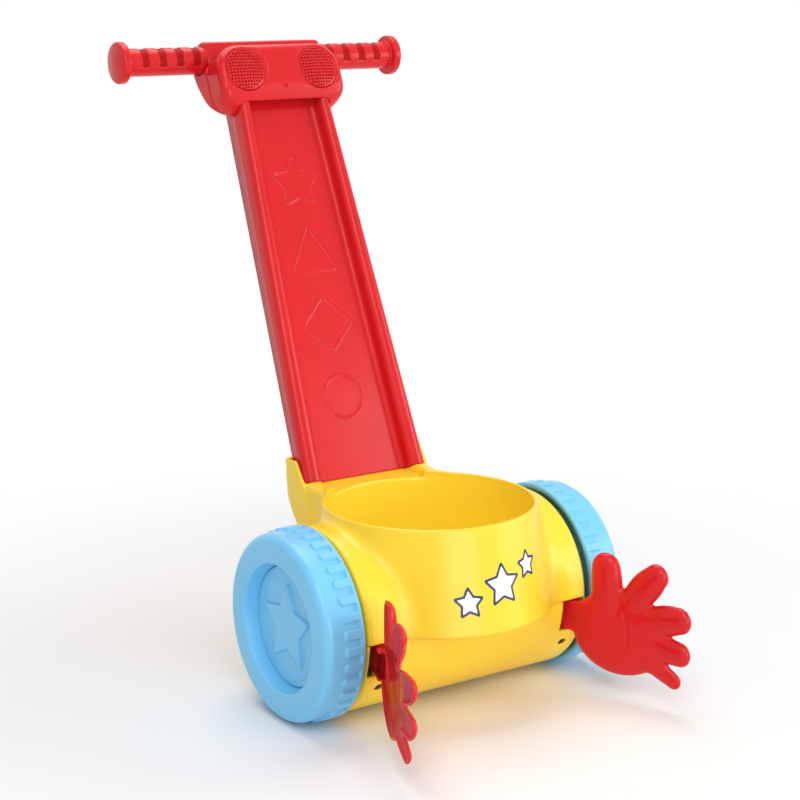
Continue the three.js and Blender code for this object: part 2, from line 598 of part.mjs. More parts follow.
// Lower shell: drum trough with axle saddles, arm slots, pin bosses and the rear foot
function lowerShellSolid() {
  const room = drum(DRUM_RADIUS - WALL, DRUM_HALF - WALL);
  const trough = cut(joined(drum(DRUM_RADIUS, DRUM_HALF), footSolid()), above(SEAM_LOW));
  const rib = block(RIB_AT - WALL / 2, RIB_AT + WALL / 2, -BIG, BIG, 0, SEAM_LOW - AXLE_RADIUS)
    .intersect(drum(DRUM_RADIUS - WALL / 2, DRUM_HALF));
  const post = block(RIB_AT - WALL / 2, RIB_AT + WALL / 2, -HUB_RADIUS, HUB_RADIUS,
    AXLE_Z - HUB_RADIUS, SEAM_LOW);
  const shelf = block(SLOT_IN - WALL, DRUM_HALF - WALL / 2, -BIG, PIVOT_Y + SHELF_DEPTH,
    SLOT_LOW - WALL, SLOT_LOW).intersect(drum(DRUM_RADIUS - WALL / 2, DRUM_HALF));
  const pinBoss = rod('z', PIN_RADIUS + BOSS_WALL, 0, SLOT_LOW, [PIVOT_X, PIVOT_Y], PIN_SIDES)
    .intersect(drum(DRUM_RADIUS, DRUM_HALF));
  const screwBoss = rod('z', COUNTERBORE + BOSS_WALL, 0, SEAM_LOW, [BODY_SCREW_X, BODY_SCREW_Y])
    .intersect(drum(DRUM_RADIUS, DRUM_HALF));
  const slot = block(SLOT_IN, SLOT_OUT, -BIG, PIVOT_Y, SLOT_LOW, AXLE_Z);
  const pinHole = rod('z', PIN_RADIUS + PRESS_GAP, 0, SLOT_LOW + OVERCUT, [PIVOT_X, PIVOT_Y], PIN_SIDES);
  const counterbore = rod('z', COUNTERBORE, 0, BODY_SCREW_SEAT, [BODY_SCREW_X, BODY_SCREW_Y]);
  const screwHole = rod('z', SCREW_RADIUS + PRESS_GAP, 0, BIG, [BODY_SCREW_X, BODY_SCREW_Y]);
  const saddle = rod('x', AXLE_RADIUS + PRESS_GAP, -BIG, BIG, [0, AXLE_Z], PIN_SIDES);
  const fitted = joined(cut(trough, room), bothSides(joined(rib, post, shelf, pinBoss, screwBoss)));
  return cut(fitted, bothSides(joined(slot, pinHole, counterbore, screwHole)), saddle);
}

// A finger: a tapered capsule along y, flattened, with its tip at the far end
function fingerSolid(finger, inset) {
  const from = new THREE.Vector2(finger.along, finger.up);
  const to = new THREE.Vector2(finger.tipAlong, finger.tipUp);
  const length = from.distanceTo(to);
  const root = finger.root - inset;
  const tip = finger.tip - inset;
  const profile = [[0, -root]];
  for (let i = 1; i <= 2; i += 1) {
    const turn = (Math.PI * i) / 4;
    profile.push([root * Math.sin(turn), -root * Math.cos(turn)]);
  }
  for (let i = 0; i < 3; i += 1) {
    const turn = (Math.PI * i) / 6;
    profile.push([tip * Math.cos(turn), length + tip * Math.sin(turn)]);
  }
  profile.push([0, length + tip]);
  const bulge = (FINGER_BULGE * finger.root - inset) / root;
  const squash = new THREE.Matrix4().makeScale(1, 1, bulge);
  const curl = new THREE.Matrix4().makeRotationX(Math.atan2(finger.curl, length));
  const aim = new THREE.Matrix4().makeRotationZ(Math.atan2(to.y - from.y, to.x - from.x) - Math.PI / 2);
  const place = new THREE.Matrix4().makeTranslation(from.x, from.y, 0).multiply(aim).multiply(curl);
  const back = inset ? -WALL : 0;
  const open = block(-BIG, BIG, -BIG, BIG, back, BIG);
  return moved(moved(turned(profile, FINGER_SIDES), squash).intersect(open), place);
}

// The palm: a flattened dome with its open side at zero
function palmSolid(inset) {
  const profile = [];
  for (let i = 0; i <= CURVE_STEPS; i += 1) {
    const turn = (Math.PI / 2) * (i / CURVE_STEPS);
    profile.push([Math.cos(turn), Math.sin(turn)]);
  }
  const base = inset ? -WALL : 0;
  const dome = turned([[0, base], [1, base], ...profile.slice(base ? 0 : 1)], PALM_SIDES);
  const size = new THREE.Matrix4().makeScale(PALM.half - inset, PALM.bulge - inset, PALM.tall - inset);
  const stand = new THREE.Matrix4().makeRotationX(Math.PI / 2).setPosition(PALM.along, PALM.up, 0);
  return moved(moved(dome, size), stand);
}

// Hand: a thin scoop open at the back, on a channel-shaped arm that turns on a pin.
// It is drawn flat, x along the hand, y up, z towards the palm side, and then stood up on its pivot.
function handSolid() {
  const outside = joined(palmSolid(0), ...FINGERS.map((finger) => fingerSolid(finger, 0)));
  const inside = joined(palmSolid(THIN_WALL), ...FINGERS.map((finger) => fingerSolid(finger, THIN_WALL)));
  const scoop = moved(cut(outside, inside), new THREE.Matrix4().makeTranslation(0, 0, HAND_RIM));
  const arm = block(-ARM_BACK, ARM_REACH, ARM_LOW, ARM_HIGH, -ARM_OUT, ARM_IN);
  const open = block(THIN_WALL - ARM_BACK, ARM_REACH - THIN_WALL, ARM_LOW + THIN_WALL, ARM_HIGH - THIN_WALL,
    -BIG, ARM_IN - THIN_WALL);
  const barrel = rod('y', PIN_RADIUS + BOSS_WALL, ARM_LOW, ARM_HIGH, [0, 0], PIN_SIDES);
  const bore = rod('y', PIN_RADIUS + RUN_GAP, 0, BIG, [0, 0], PIN_SIDES);
  const flat = cut(joined(scoop, cut(arm, open), barrel), bore);
  const along = new THREE.Vector3(Math.sin(SPLAY), -Math.cos(SPLAY), 0);
  const inward = new THREE.Vector3(-Math.cos(SPLAY), -Math.sin(SPLAY), 0);
  const stand = new THREE.Matrix4().makeBasis(along, new THREE.Vector3(0, 0, 1), inward);
  return moved(flat, stand.setPosition(PIVOT_X, PIVOT_Y, 0));
}

const handPinSolid = () => rod('z', PIN_RADIUS, PIN_LOW, PIN_HIGH, [PIVOT_X, PIVOT_Y], PIN_SIDES);

function bodyScrewSolid() {
  const stand = new THREE.Matrix4().makeRotationX(Math.PI / 2);
  const length = SEAM_HIGH + BODY_SCREW_GRIP - BODY_SCREW_SEAT;
  return moved(screw(length), stand.setPosition(BODY_SCREW_X, BODY_SCREW_Y, BODY_SCREW_SEAT - GAP));
}

// A raised outline on the channel floor
function ridge(outer, inner, at) {
  const shape = new THREE.Shape(outer);
  shape.holes.push(new THREE.Path(inner));
  const depth = RIDGE_HEIGHT + THIN_WALL / 2;
  const geometry = new THREE.ExtrudeGeometry(shape, { depth, bevelEnabled: false });
  geometry.translate(0, at, -CHANNEL_DROP - THIN_WALL / 2);
  return solid(geometry);
}

function polygonPoints(radius, sides, start = Math.PI / 2) {
  const corners = [];
  for (let i = 0; i < sides; i += 1) {
    const turn = start + (2 * Math.PI * i) / sides;
    corners.push([radius * Math.cos(turn), radius * Math.sin(turn)]);
  }
  return vectors(corners);
}

const ringOf = (points, at) => ridge(points, offsetPath(points, RIDGE_WIDTH, true), at);

// Chute: an open channel with rounded rails, four raised outlines and a tongue for the housing
function chuteSolid() {
  const run = channel(0, CHUTE_TOP, 0, THIN_WALL);
  const tongue = channel(-TONGUE_DROP, TONGUE_LAP, SKIN_GAP, SKIN_GAP + THIN_WALL);
  const emblems = [
    ringOf(starPoints(EMBLEM_RADIUS.star, STAR_WAIST), EMBLEM_AT.star),
    ringOf(polygonPoints(EMBLEM_RADIUS.triangle, 3), EMBLEM_AT.triangle),
    ringOf(polygonPoints(EMBLEM_RADIUS.diamond, 4), EMBLEM_AT.diamond),
    ringOf(polygonPoints(EMBLEM_RADIUS.circle, EMBLEM_SIDES), EMBLEM_AT.circle),
  ];
  const boss = rod('z', SCREW_RADIUS + BOSS_WALL, -CHUTE_BOSS_BACK, -CHANNEL_DROP - THIN_WALL / 2,
    [CHUTE_SCREW_X, CHUTE_SCREW_AT]);
  const hole = rod('z', SCREW_RADIUS + PRESS_GAP, -BIG, -CHANNEL_DROP - THIN_WALL,
    [CHUTE_SCREW_X, CHUTE_SCREW_AT]);
  return cut(joined(run, tongue, bothSides(boss), ...emblems), bothSides(hole));
}

function chuteScrewSolid() {
  const along = new THREE.Matrix4().makeRotationX(Math.PI / 2);
  const length = HOUSING_BOSS_BACK - CHANNEL_DROP - THIN_WALL - GAP;
  return moved(screw(length), along.setPosition(CHUTE_SCREW_X, CHUTE_SCREW_AT, -HOUSING_BOSS_BACK - GAP));
}

// Face of the head: round corners about the grilles, drawn in to a narrower foot
function headFaceShape() {
  const high = HEAD_HALF - HIGH_CORNER;
  const shape = new THREE.Shape();
  shape.moveTo(-HEAD_LOW_HALF, HEAD_LOW);
  shape.lineTo(HEAD_LOW_HALF, HEAD_LOW);
  shape.absarc(HEAD_LOW_HALF, HEAD_LOW + LOW_CORNER, LOW_CORNER, -Math.PI / 2, 0);
  shape.absarc(high, GRILLE_AT, HIGH_CORNER, 0, Math.PI / 2);
  shape.absarc(-high, GRILLE_AT, HIGH_CORNER, Math.PI / 2, Math.PI);
  shape.absarc(-HEAD_LOW_HALF, HEAD_LOW + LOW_CORNER, LOW_CORNER, Math.PI, 1.5 * Math.PI);
  return shape;
}

// A slab of the face outline with a rounded front edge, trimmed flat at the back
function headSlab(inset, back, front) {
  const geometry = new THREE.ExtrudeGeometry(headFaceShape(), {
    depth: front - back - HEAD_BEVEL, bevelThickness: HEAD_BEVEL, bevelSize: HEAD_BEVEL,
    bevelOffset: -HEAD_BEVEL - inset, bevelSegments: inset ? 1 : 2, curveSegments: 3,
  });
  geometry.translate(0, 0, back);
  return cut(solid(geometry), below(back));
}

const headScrewSpots = [HEAD_SCREW_LOW, HEAD_SCREW_HIGH].map(({ x, at }) => [x, at]);

// Room for the chute where it runs up into the head
function chuteRoom() {
  const sections = [HEAD_LOW - BAR_BACK, CHUTE_TOP + GAP].map((at) => {
    const half = taper(RAIL_OUT_LOW, RAIL_OUT_HIGH, at) + GAP;
    const depth = taper(SIDE_DEPTH_LOW, SIDE_DEPTH_HIGH, at) + GAP;
    return { at, points: vectors([[half, -depth], [half, GAP], [-half, GAP], [-half, -depth]]) };
  });
  return loft(sections, (p, at) => new THREE.Vector3(p.x, at, p.y));
}

function headFrontSolid() {
  const shell = cut(headSlab(0, -HEAD_SPLIT, HEAD_FRONT),
    headSlab(THIN_WALL, -HEAD_SPLIT - HEAD_BEVEL, HEAD_FRONT - WALL));
  const seat = rod('z', GRILLE_RADIUS + PRESS_GAP, HEAD_FRONT - GRILLE_THICKNESS - GAP, BIG,
    [GRILLE_X, GRILLE_AT], GRILLE_SIDES);
  const throat = rod('z', GRILLE_RADIUS - GRILLE_LEDGE, 0, BIG, [GRILLE_X, GRILLE_AT], GRILLE_SIDES);
  const bosses = headScrewSpots.map((spot) => rod('z', SCREW_RADIUS + BOSS_WALL,
    -HEAD_SPLIT, HEAD_FRONT - WALL / 2, spot));
  const holes = headScrewSpots.map((spot) => rod('z', SCREW_RADIUS + PRESS_GAP, -BIG, 0, spot));
  const whole = joined(shell, bothSides(joined(...bosses)));
  return cut(whole, chuteRoom(), bothSides(joined(seat, throat, ...holes)));
}

// Back of the head: side walls under a collar for the bar, rounded off towards the chute
function headBackOutlines(inset) {
  const plan = new THREE.Shape();
  const half = HEAD_HALF - inset;
  const end = COLLAR_HALF - inset;
  const shoulder = inset ? BAR_AT - GRIP_RADIUS - COLLAR_CLEAR - inset : HEAD_SHOULDER;
  const corner = LOW_CORNER - inset;
  plan.moveTo(-HEAD_LOW_HALF, HEAD_LOW + inset);
  plan.lineTo(HEAD_LOW_HALF, HEAD_LOW + inset);
  plan.absarc(HEAD_LOW_HALF, HEAD_LOW + LOW_CORNER, corner, -Math.PI / 2, 0);
  plan.lineTo(half, shoulder);
  plan.lineTo(end, shoulder);
  plan.lineTo(end, BAR_AT + COLLAR_RADIUS);
  plan.lineTo(-end, BAR_AT + COLLAR_RADIUS);
  plan.lineTo(-end, shoulder);
  plan.lineTo(-half, shoulder);
  plan.absarc(-HEAD_LOW_HALF, HEAD_LOW + LOW_CORNER, corner, Math.PI, 1.5 * Math.PI);
  const collar = COLLAR_RADIUS - inset;
  const front = inset ? 0 : HEAD_SPLIT + GAP;
  const side = new THREE.Shape();
  side.moveTo(-front, HEAD_LOW + inset);
  side.lineTo(-front, BAR_AT);
  side.absarc(-BAR_BACK, BAR_AT, collar, Math.PI / 6, Math.PI);
  side.quadraticCurveTo(inset - BAR_BACK - COLLAR_RADIUS, HEAD_LOW + BAR_BACK, -front, HEAD_LOW + inset);
  return { plan: outlineOf(plan), side: outlineOf(side) };
}

const AWAY_FROM_PROFILE = new THREE.Matrix4().makeBasis(
  new THREE.Vector3(0, 0, 1), new THREE.Vector3(0, 1, 0), new THREE.Vector3(-1, 0, 0));

function headBackBlank(inset) {
  const { plan, side } = headBackOutlines(inset);
  const across = moved(prism(side, -BIG, BIG), AWAY_FROM_PROFILE);
  return prism(plan, -BIG, BIG).intersect(across);
}

function headBackSolid() {
  const outside = headBackBlank(0);
  const shell = cut(outside, headBackBlank(THIN_WALL));
  const bosses = headScrewSpots.map((spot) => rod('z', COUNTERBORE + BOSS_WALL,
    -BIG, -HEAD_SPLIT - GAP, spot));
  const bores = headScrewSpots.map((spot) => rod('z', COUNTERBORE, -BIG, -HEAD_SCREW_SEAT, spot));
  const holes = headScrewSpots.map((spot) => rod('z', SCREW_RADIUS + PRESS_GAP, -BIG, BIG, spot));
  const barHole = rod('x', BAR_RADIUS + PRESS_GAP, -BIG, BIG, [BAR_AT, -BAR_BACK], BAR_SIDES);
  const whole = shell.add(bothSides(joined(...bosses)).intersect(outside));
  const gripRoom = rod('x', GRIP_RADIUS + COLLAR_CLEAR, COLLAR_HALF, BIG, [BAR_AT, -BAR_BACK], BAR_SIDES);
  return cut(whole, chuteRoom(), bothSides(joined(gripRoom, ...bores, ...holes)), barHole);
}

function headScrewSolid([x, at]) {
  const along = new THREE.Matrix4().makeRotationX(Math.PI / 2);
  return moved(screw(HEAD_SCREW_SEAT), along.setPosition(x, at, -HEAD_SCREW_SEAT - GAP));
}

// Grille: a disc pierced by a square pattern of holes
function grilleSolid() {
  const back = HEAD_FRONT - GRILLE_THICKNESS;
  const disc = rod('z', GRILLE_RADIUS, back, HEAD_FRONT, [GRILLE_X, GRILLE_AT], GRILLE_SIDES);
  const reach = GRILLE_RADIUS - GRILLE_LEDGE - GRILLE_HOLE;
  const rows = Math.floor(reach / GRILLE_PITCH);
  const half = GRILLE_HOLE / 2;
  const holes = [];
  for (let i = -rows; i <= rows; i += 1) {
    for (let j = -rows; j <= rows; j += 1) {
      if (Math.hypot(i, j) * GRILLE_PITCH > reach) continue;
      const x = GRILLE_X + i * GRILLE_PITCH;
      const y = GRILLE_AT + j * GRILLE_PITCH;
      holes.push(block(x - half, x + half, y - half, y + half, back - OVERCUT, HEAD_FRONT + OVERCUT));
    }
  }
  return cut(disc, ...holes);
}

function handleBarSolid() {
  const end = GRIP_END - FLANGE_WIDTH;
  const tube = rod('x', BAR_RADIUS, -end, end, [BAR_AT, -BAR_BACK], BAR_SIDES);
  return cut(tube, rod('x', BAR_RADIUS - BAR_WALL, -BIG, BIG, [BAR_AT, -BAR_BACK], BAR_SIDES));
}

// Grip: a sleeve closed by a domed flange, with grooves over its top that leave the underside smooth
function gripSolid() {
  const inner = COLLAR_HALF + GAP;
  const bore = BAR_RADIUS + PRESS_GAP;
  const flange = GRIP_END - FLANGE_WIDTH;
  const body = turned([
    [bore, inner], [GRIP_RADIUS, inner], [GRIP_RADIUS, flange],
    [FLANGE_RADIUS - FLANGE_CHAMFER, flange], [FLANGE_RADIUS, flange + FLANGE_CHAMFER],
    [FLANGE_RADIUS, GRIP_END - FLANGE_DOME], [FLANGE_RADIUS - FLANGE_DOME, GRIP_END],
    [0, GRIP_END + FLANGE_DOME], [0, flange + GAP], [bore, flange + GAP],
  ], BAR_SIDES);
  const grooves = [];
  for (let i = 0; i < GROOVE_COUNT; i += 1) {
    const middle = GROOVE_FIRST + i * GROOVE_PITCH;
    const low = middle - GROOVE_WIDTH / 2;
    const high = middle + GROOVE_WIDTH / 2;
    const core = GRIP_RADIUS - GROOVE_DEPTH;
    grooves.push(turned([[core, low], [core, high], [FLANGE_RADIUS, high], [FLANGE_RADIUS, low]], BAR_SIDES));
  }
  const keep = block(-BIG, BIG, -BIG, BIG, GROOVE_FLOOR, BIG);
  const stand = new THREE.Matrix4().makeBasis(
    new THREE.Vector3(0, 0, -1), new THREE.Vector3(1, 0, 0), new THREE.Vector3(0, 1, 0).negate());
  const place = stand.setPosition(0, BAR_AT, -BAR_BACK);
  return moved(cut(body, cut(joined(...grooves), keep)), place);
}

add(pieces, 'upper_shell', upperShellSolid(), yellow);
add(pieces, 'lower_shell', lowerShellSolid(), yellow);
add(pieces, 'axle', axleSolid(), steel);
addPair(pieces, 'wheel', wheelSolid(), blue);
addPair(pieces, 'hub_cap', hubCapSolid(), blue);
addPair(pieces, 'push_nut', pushNutSolid(), steel);
addPair(pieces, 'hand', handSolid(), red);
addPair(pieces, 'hand_pin', handPinSolid(), steel);
addPair(pieces, 'body_screw', bodyScrewSolid(), steel);
add(chuteFrame, 'chute', chuteSolid(), red);
addPair(chuteFrame, 'chute_screw', chuteScrewSolid(), steel);
add(chuteFrame, 'head_front', headFrontSolid(), red);
add(chuteFrame, 'head_back', headBackSolid(), red);
addPair(chuteFrame, 'head_screw_low', headScrewSolid(headScrewSpots[0]), steel);
addPair(chuteFrame, 'head_screw_high', headScrewSolid(headScrewSpots[1]), steel);
addPair(chuteFrame, 'grille', grilleSolid(), red);
add(chuteFrame, 'handle_bar', handleBarSolid(), steel);
addPair(chuteFrame, 'grip', gripSolid(), red);

// The origin is the middle of the floor under the whole walker
const extent = new THREE.Box3().setFromObject(pieces, true);
const middle = extent.getCenter(new THREE.Vector3());
const walker = new THREE.Group();
walker.add(pieces);
pieces.position.set(-middle.x, -middle.y, -extent.min.z);

export default walker;
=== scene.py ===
"""Looks of the ball collecting push walker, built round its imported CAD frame.

The shells, hands, head and hub caps are distance fields turned into meshes, the wheels and grips are
turned profiles, the chute is a drawn section, and the grilles and the print are sheets made solid. Sizes
are millimetres as in the part's source, with the axle at y 0 and the floor at z 0, and become metres in
the row frame when a mesh is made.
"""
import math

import bpy
import numpy as np
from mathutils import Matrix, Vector


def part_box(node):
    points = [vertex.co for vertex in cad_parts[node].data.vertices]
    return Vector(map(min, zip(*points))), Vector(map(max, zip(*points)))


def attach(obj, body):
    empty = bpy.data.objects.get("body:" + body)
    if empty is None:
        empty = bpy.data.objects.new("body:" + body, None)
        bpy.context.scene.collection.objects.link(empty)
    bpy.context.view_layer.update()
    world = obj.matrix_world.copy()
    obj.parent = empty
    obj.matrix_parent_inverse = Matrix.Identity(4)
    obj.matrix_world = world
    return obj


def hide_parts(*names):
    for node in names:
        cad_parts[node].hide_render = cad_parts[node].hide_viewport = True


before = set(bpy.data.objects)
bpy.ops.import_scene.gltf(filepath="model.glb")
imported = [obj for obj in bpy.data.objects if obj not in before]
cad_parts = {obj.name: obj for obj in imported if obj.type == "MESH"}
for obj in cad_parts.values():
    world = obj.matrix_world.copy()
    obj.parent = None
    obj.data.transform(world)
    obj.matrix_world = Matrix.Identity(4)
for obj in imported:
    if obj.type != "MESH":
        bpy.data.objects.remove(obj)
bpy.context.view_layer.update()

MM = 0.001
GAP = 0.3                     # between pieces that touch
EDGE = 1                      # rounding of a moulded edge
SOFT_EDGE = 0.8
FINE_EDGE = 0.6
NETS = {                      # corners of the space searched for each shape, and the spacing in it
    "upper_shell": ((-116, -116, 82), (116, 131, 193), 1.5),
    "lower_shell": ((-116, -82, -1), (116, 131, 84), 1.3),
    "hub_cap": ((-1, -53, -53), (8, 53, 53), 0.9),
    "hand": ((-9, 20, -6), (134, 133, 21), 1.1),
    "head_front": ((-68, 345, -22), (68, 413, 8), 0.75),
    "head_back": ((-68, 345, -50), (68, 427, -18), 1.1),
}

# Wheels and axle
axle_low, axle_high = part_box("axle")
AXLE_SHIFT = (axle_low.y + axle_high.y) / 2      # row frame, metres
AXLE_HEIGHT = (axle_low.z + axle_high.z) / 2 / MM
WHEEL_RADIUS = AXLE_HEIGHT
WHEEL_INNER = 118.7           # inner face of the tread, from the middle
WHEEL_WIDTH = 36
LUG_COUNT = 36
LUG_HEIGHT = 2.4
LUG_WIDTH = 7.6
LUG_REACH = 18
LUG_BAND = 3.5
LUG_CORNER = 2.4
LUG_SIDE = 0.3                # half the width of a lug's sloping side
LUG_SINK = 0.1                # keeps the lugs just inside the wheel's radius
LUG_SEGMENTS = 28             # round the wheel, for each lug
TREAD_CHAMFER = 0.8
TREAD_STEP = 0.4              # between the profile's points across the tread
TYRE_SHOULDER = 8
SIDE_CREST = (0.3, 66)        # how far the side stands out beyond the width, and at which radius
RIM_INSIDE = 5                # inside of the wall behind the hub's mouth
SHOULDER_INSIDE = (9, 3)      # and behind the shoulder, across and inward
HUB_MOUTH = 55
MOUTH_ROUND = 3
MOUTH_LEAN = 0.25             # radians short of a quarter turn
HUB_TAPER = 3
HUB_DEPTH = 12.5
HUB_RADIUS = 14
HUB_INNER = -3.9              # inner end of the hub, from the inner face of the tread
HUB_STEP = 2                  # where the taper of the recess ends, above the cap's seat
AXLE_BORE = 4.35
CAP_RADIUS = 51.7
CAP_THICKNESS = 3
STAR_RADIUS = 36
STAR_WAIST = 0.52
STAR_HEIGHT = 3
STAR_ROUND = 1.4
STAR_BLEND = 1.6
STAR_SWELL = 1                # how far the raised star reaches outside its corners' outline
STAR_ROOT = 1                 # its lower end inside the disc

# Drum and tub
DRUM_RADIUS = 80
DRUM_HALF = 114.5
DRUM_EDGE = 6                 # rounding of the drum's ends
SHELL_WALL = 3
SEAM = 83
LIP_RADIUS = 104
LIP_SHIFT = -9.5
RIM_RADIUS = 94
RIM_SHIFT = -2
RIM_HEIGHT = 172
TUB_WALL = 3.5
TUB_FLOOR = 92
TUB_BLEND = 9                 # hollow between the tub and the drum
RAIL_BLEND = 3
HOUSING_BLEND = 5
MOUTH_BLEND = 4
FOOT_BLEND = 6
PAINTED_LIGHT_DROP = 3                 # the painted light inside the tub, a paler yellow, starts that far below the rim
RIM_ROUND = 1.6
FLOOR_ROUND = 14

# Chute and housing
LEAN = math.radians(22.9)
CHUTE_Y = 94.5
CHUTE_Z = 174.3
CHUTE_SPAN = 354
CHUTE_TOP = 372
RAIL_OUT = (64.6, 48.7)       # at the foot and at the head
RAIL_IN = (47.5, 36.8)
SIDE_DEPTH = (20, 32)
RAIL_ROUND = 7
CHANNEL_DROP = 15
CHANNEL_FILLET = 5
CHUTE_WALL = 2.5
RIDGE_WIDTH = 1.8
RIDGE_HEIGHT = 1
RIDGE_FLAT = 0.2              # half the width of its top
FLOOR_NEAR = 0.01             # points that close to the channel's floor belong to it
LEDGE_FALL = 2
LEDGE_RUN = 24
HOUSING_ROOT = 75
RAIL_REACH = 34
RAIL_FALL = 3
RAIL_LAP = 1                  # how far the housing's rails run into its cheeks
CHEEK = 3.2
CHEEK_TOP = [(-GAP, -5), (22, -10)]      # along the chute and in front of its rails
CHUTE_SCREW = {"x": 30, "at": 10, "front": 23.3, "back": 33}
BOSS_RADIUS = 4.1
SECTION_STEP = 1              # between the chute's drawn sections
FLOOR_POINTS = 72             # across half the channel floor
EMBLEM_STAR = (281, 21)       # place along the chute, and radius
EMBLEM_CIRCLE = (75, 20)
EMBLEM_TRIANGLE = (210, 0.88)            # place along the chute, and scale of the corners
EMBLEM_DIAMOND = (144, 0.88)
EMBLEM_ROUND = 3
TRIANGLE = np.array([(0, 26), (-22.5, -13), (22.5, -13)])
DIAMOND = np.array([(0, 25), (-25, 0), (0, -25), (25, 0)])

# Head and handlebar, along the chute and in front of its rails
BAR_AT = 408
BAR_BACK = 31
COLLAR_RADIUS = 17
COLLAR_HALF = 62
HEAD_FRONT = 6
HEAD_SPLIT = 20
HEAD_LOW = 348
HEAD_SHOULDER = 402           # top of the sides beyond the collar
HEAD_LOW_HALF = 46            # straight part of the lower edge
LOW_CORNER = 20
HIGH_CORNER = 25
HEAD_HALF = HEAD_LOW_HALF + LOW_CORNER
HEAD_ROUND = 9
HEAD_WALL = 3
HEAD_BEVEL = 13               # slope at the foot of the face
BEVEL_LEAN = math.radians(42)
BEVEL_ROUND = 12
FACE_WALL = 4.5
MARK = [(-2.6, 369.5), (2, 367.2), (2, 371.8)]
MARK_HEIGHT = 1
HEAD_SCREWS = [(57, 372), (20, 385)]
HEAD_SCREW_SEAT = 24
COUNTERBORE = 4
HEAD_BACK_ROUND = 3
ROOM_BEHIND = 2               # free room behind the chute's sides
OVER_BAR = 40                 # any height above the collar
GRILLE_X = 39
GRILLE_AT = 386
GRILLE_RADIUS = 20.5
GRILLE_SEAT = 3               # depth of the seat in the head
GRILLE_PLAY = 0.2
GRILLE_SINK = 1.8             # edge of the dome below the face
GRILLE_DOME = 2
GRILLE_LIP = 1.6
GRILLE_POINTS = 176           # across a grille
GRILLE_RING = 22.6            # groove round each grille
RING_GROOVE = 1.5
RING_LIFT = 0.6               # middle of the groove's round above the face
PIT_PITCH = 3
PIT_RADIUS = 0.95
PIT_SIDE = (0.25, 0.1)        # slope inside and outside that radius
PIT_DEPTH = 1
PIT_REACH = 18.3
PIT_SHARE = 0.35              # a face sunk by more than that share of the depth gets the painted shade
GRIP_RADIUS = 12.8
GRIP_ROOM = 1.2               # between a grip and the head
GRIP_BORE = 9.7
GRIP_CHAMFER = 0.5
GRIP_END = 150
FLANGE_RADIUS = 19
FLANGE_WIDTH = 8
FLANGE_FILLET = 1.5
FLANGE_ROUND = (2, 2.5)       # inner and outer edge
FLANGE_CROWN = [(0.9, 12), (1.7, 6), (2, 0.4), (2, 0.01)]     # beyond the grip's end, and radius
GRIP_SEGMENTS = 96
GRIP_STEP = 0.4
GROOVES = [72.5, 90, 107.5, 125]
GROOVE_WIDTH = 7.5
GROOVE_DEPTH = 0.9
GROOVE_SIDE = 0.35            # half the width of a groove's sloping side
GROOVE_LOW = (-9.5, -8.5)     # where a groove runs out below the bar's middle

# Hands
PIVOT_X = 97
PIVOT_Y = -66
SPLAY = math.radians(25)
ARM = {"back": -8, "reach": 26, "low": 55.3, "high": 81.7, "in": 5, "out": -3.5}
HAND_WALL = 2.5
HAND_RIM = 1
HAND_BORE = 2.4
HAND_BOSS = 4.6
ARM_BLEND = 4
HAND_CURL = 9
CURL_FROM = 72
CURL_OVER = 60
CURL_MOST = 1.2
CURL_POWER = 1.6
CREASE = {"at": 68, "high": 80, "low": 43, "middle": 61, "bow": 0.012, "depth": 0.9, "width": 1.2}
FINGER_BULGE = 0.62           # height of a finger as a share of its half width
FINGER_WEB = 4
PALM = {"along": 58, "up": 60, "half": 45, "tall": 38.5, "edge": 30, "bulge": 9}
FINGERS = [                   # root and tip, then the radius at the root, halfway and at the tip
    ((46, 84), (43.5, 117), 14, 16, 13.4),
    ((70, 92), (91, 116.5), 11.5, 16.5, 11.6),
    ((88, 77), (114.5, 82.5), 11.5, 15.5, 12),
    ((90, 55), (115.5, 52.8), 10.5, 13, 11.2),
    ((86, 40), (110.5, 27.5), 9.5, 9, 7.6),
]

# Stage
FLOOR_SIZE = 80               # metres
FLOOR_COLOUR = (0.9, 0.9, 0.9, 1)
FLOOR_FADE = (0.3, 0.75)      # metres from the middle of the walker
WORLD_LIGHT = 0.4
LAMPS = [                     # name, place and size in metres, watts
    ("key", (-1.2, -1.5, 1.9), 1.4, 18),
    ("low", (-0.2, -2.0, 0.4), 1.1, 11),
    ("right", (1.6, -1.3, 0.7), 1.1, 14),
    ("top", (0.1, 0.6, 2.2), 1.6, 24),
]
LAMP_TARGET = Vector((0, 0, 0.25))
CAMERA_LENS = 84.65
CAMERA_SENSOR = 36
CAMERA_PLACE = Vector((-0.9025, -1.2934 + AXLE_SHIFT, 0.6224))
CAMERA_TARGET = Vector((-0.02979, AXLE_SHIFT, 0.26376))

# Plastic
CLOUD_SCALE = 14
CLOUD_STOPS = (0.35, 0.65)    # of the deeper and the plain tone
GRAIN_SCALE = 900
GRAIN_BUMP = (0.03, 0.0004)   # strength, and height in metres


# Distance fields

def smooth_min(a, b, blend):
    """Union of two fields with a hollow of about that size between them."""
    share = np.maximum(blend - np.abs(a - b), 0) / blend
    return np.minimum(a, b) - share * share * blend / 4


def smooth_max(a, b, blend):
    """Common part of two fields with a rounded edge."""
    return -smooth_min(-a, -b, blend)


def rounded(across, up, radius):
    """A corner of two slabs with that edge radius; both are negative inside."""
    a = across + radius
    b = up + radius
    return np.minimum(np.maximum(a, b), 0) + np.hypot(np.maximum(a, 0), np.maximum(b, 0)) - radius


def segment_distance(u, v, start, end):
    """Distance in a plane to a straight line between two points, and how far along it that is."""
    eu, ev = end[0] - start[0], end[1] - start[1]
    share = np.clip(((u - start[0]) * eu + (v - start[1]) * ev) / (eu * eu + ev * ev), 0, 1)
    return np.hypot(u - start[0] - share * eu, v - start[1] - share * ev), share


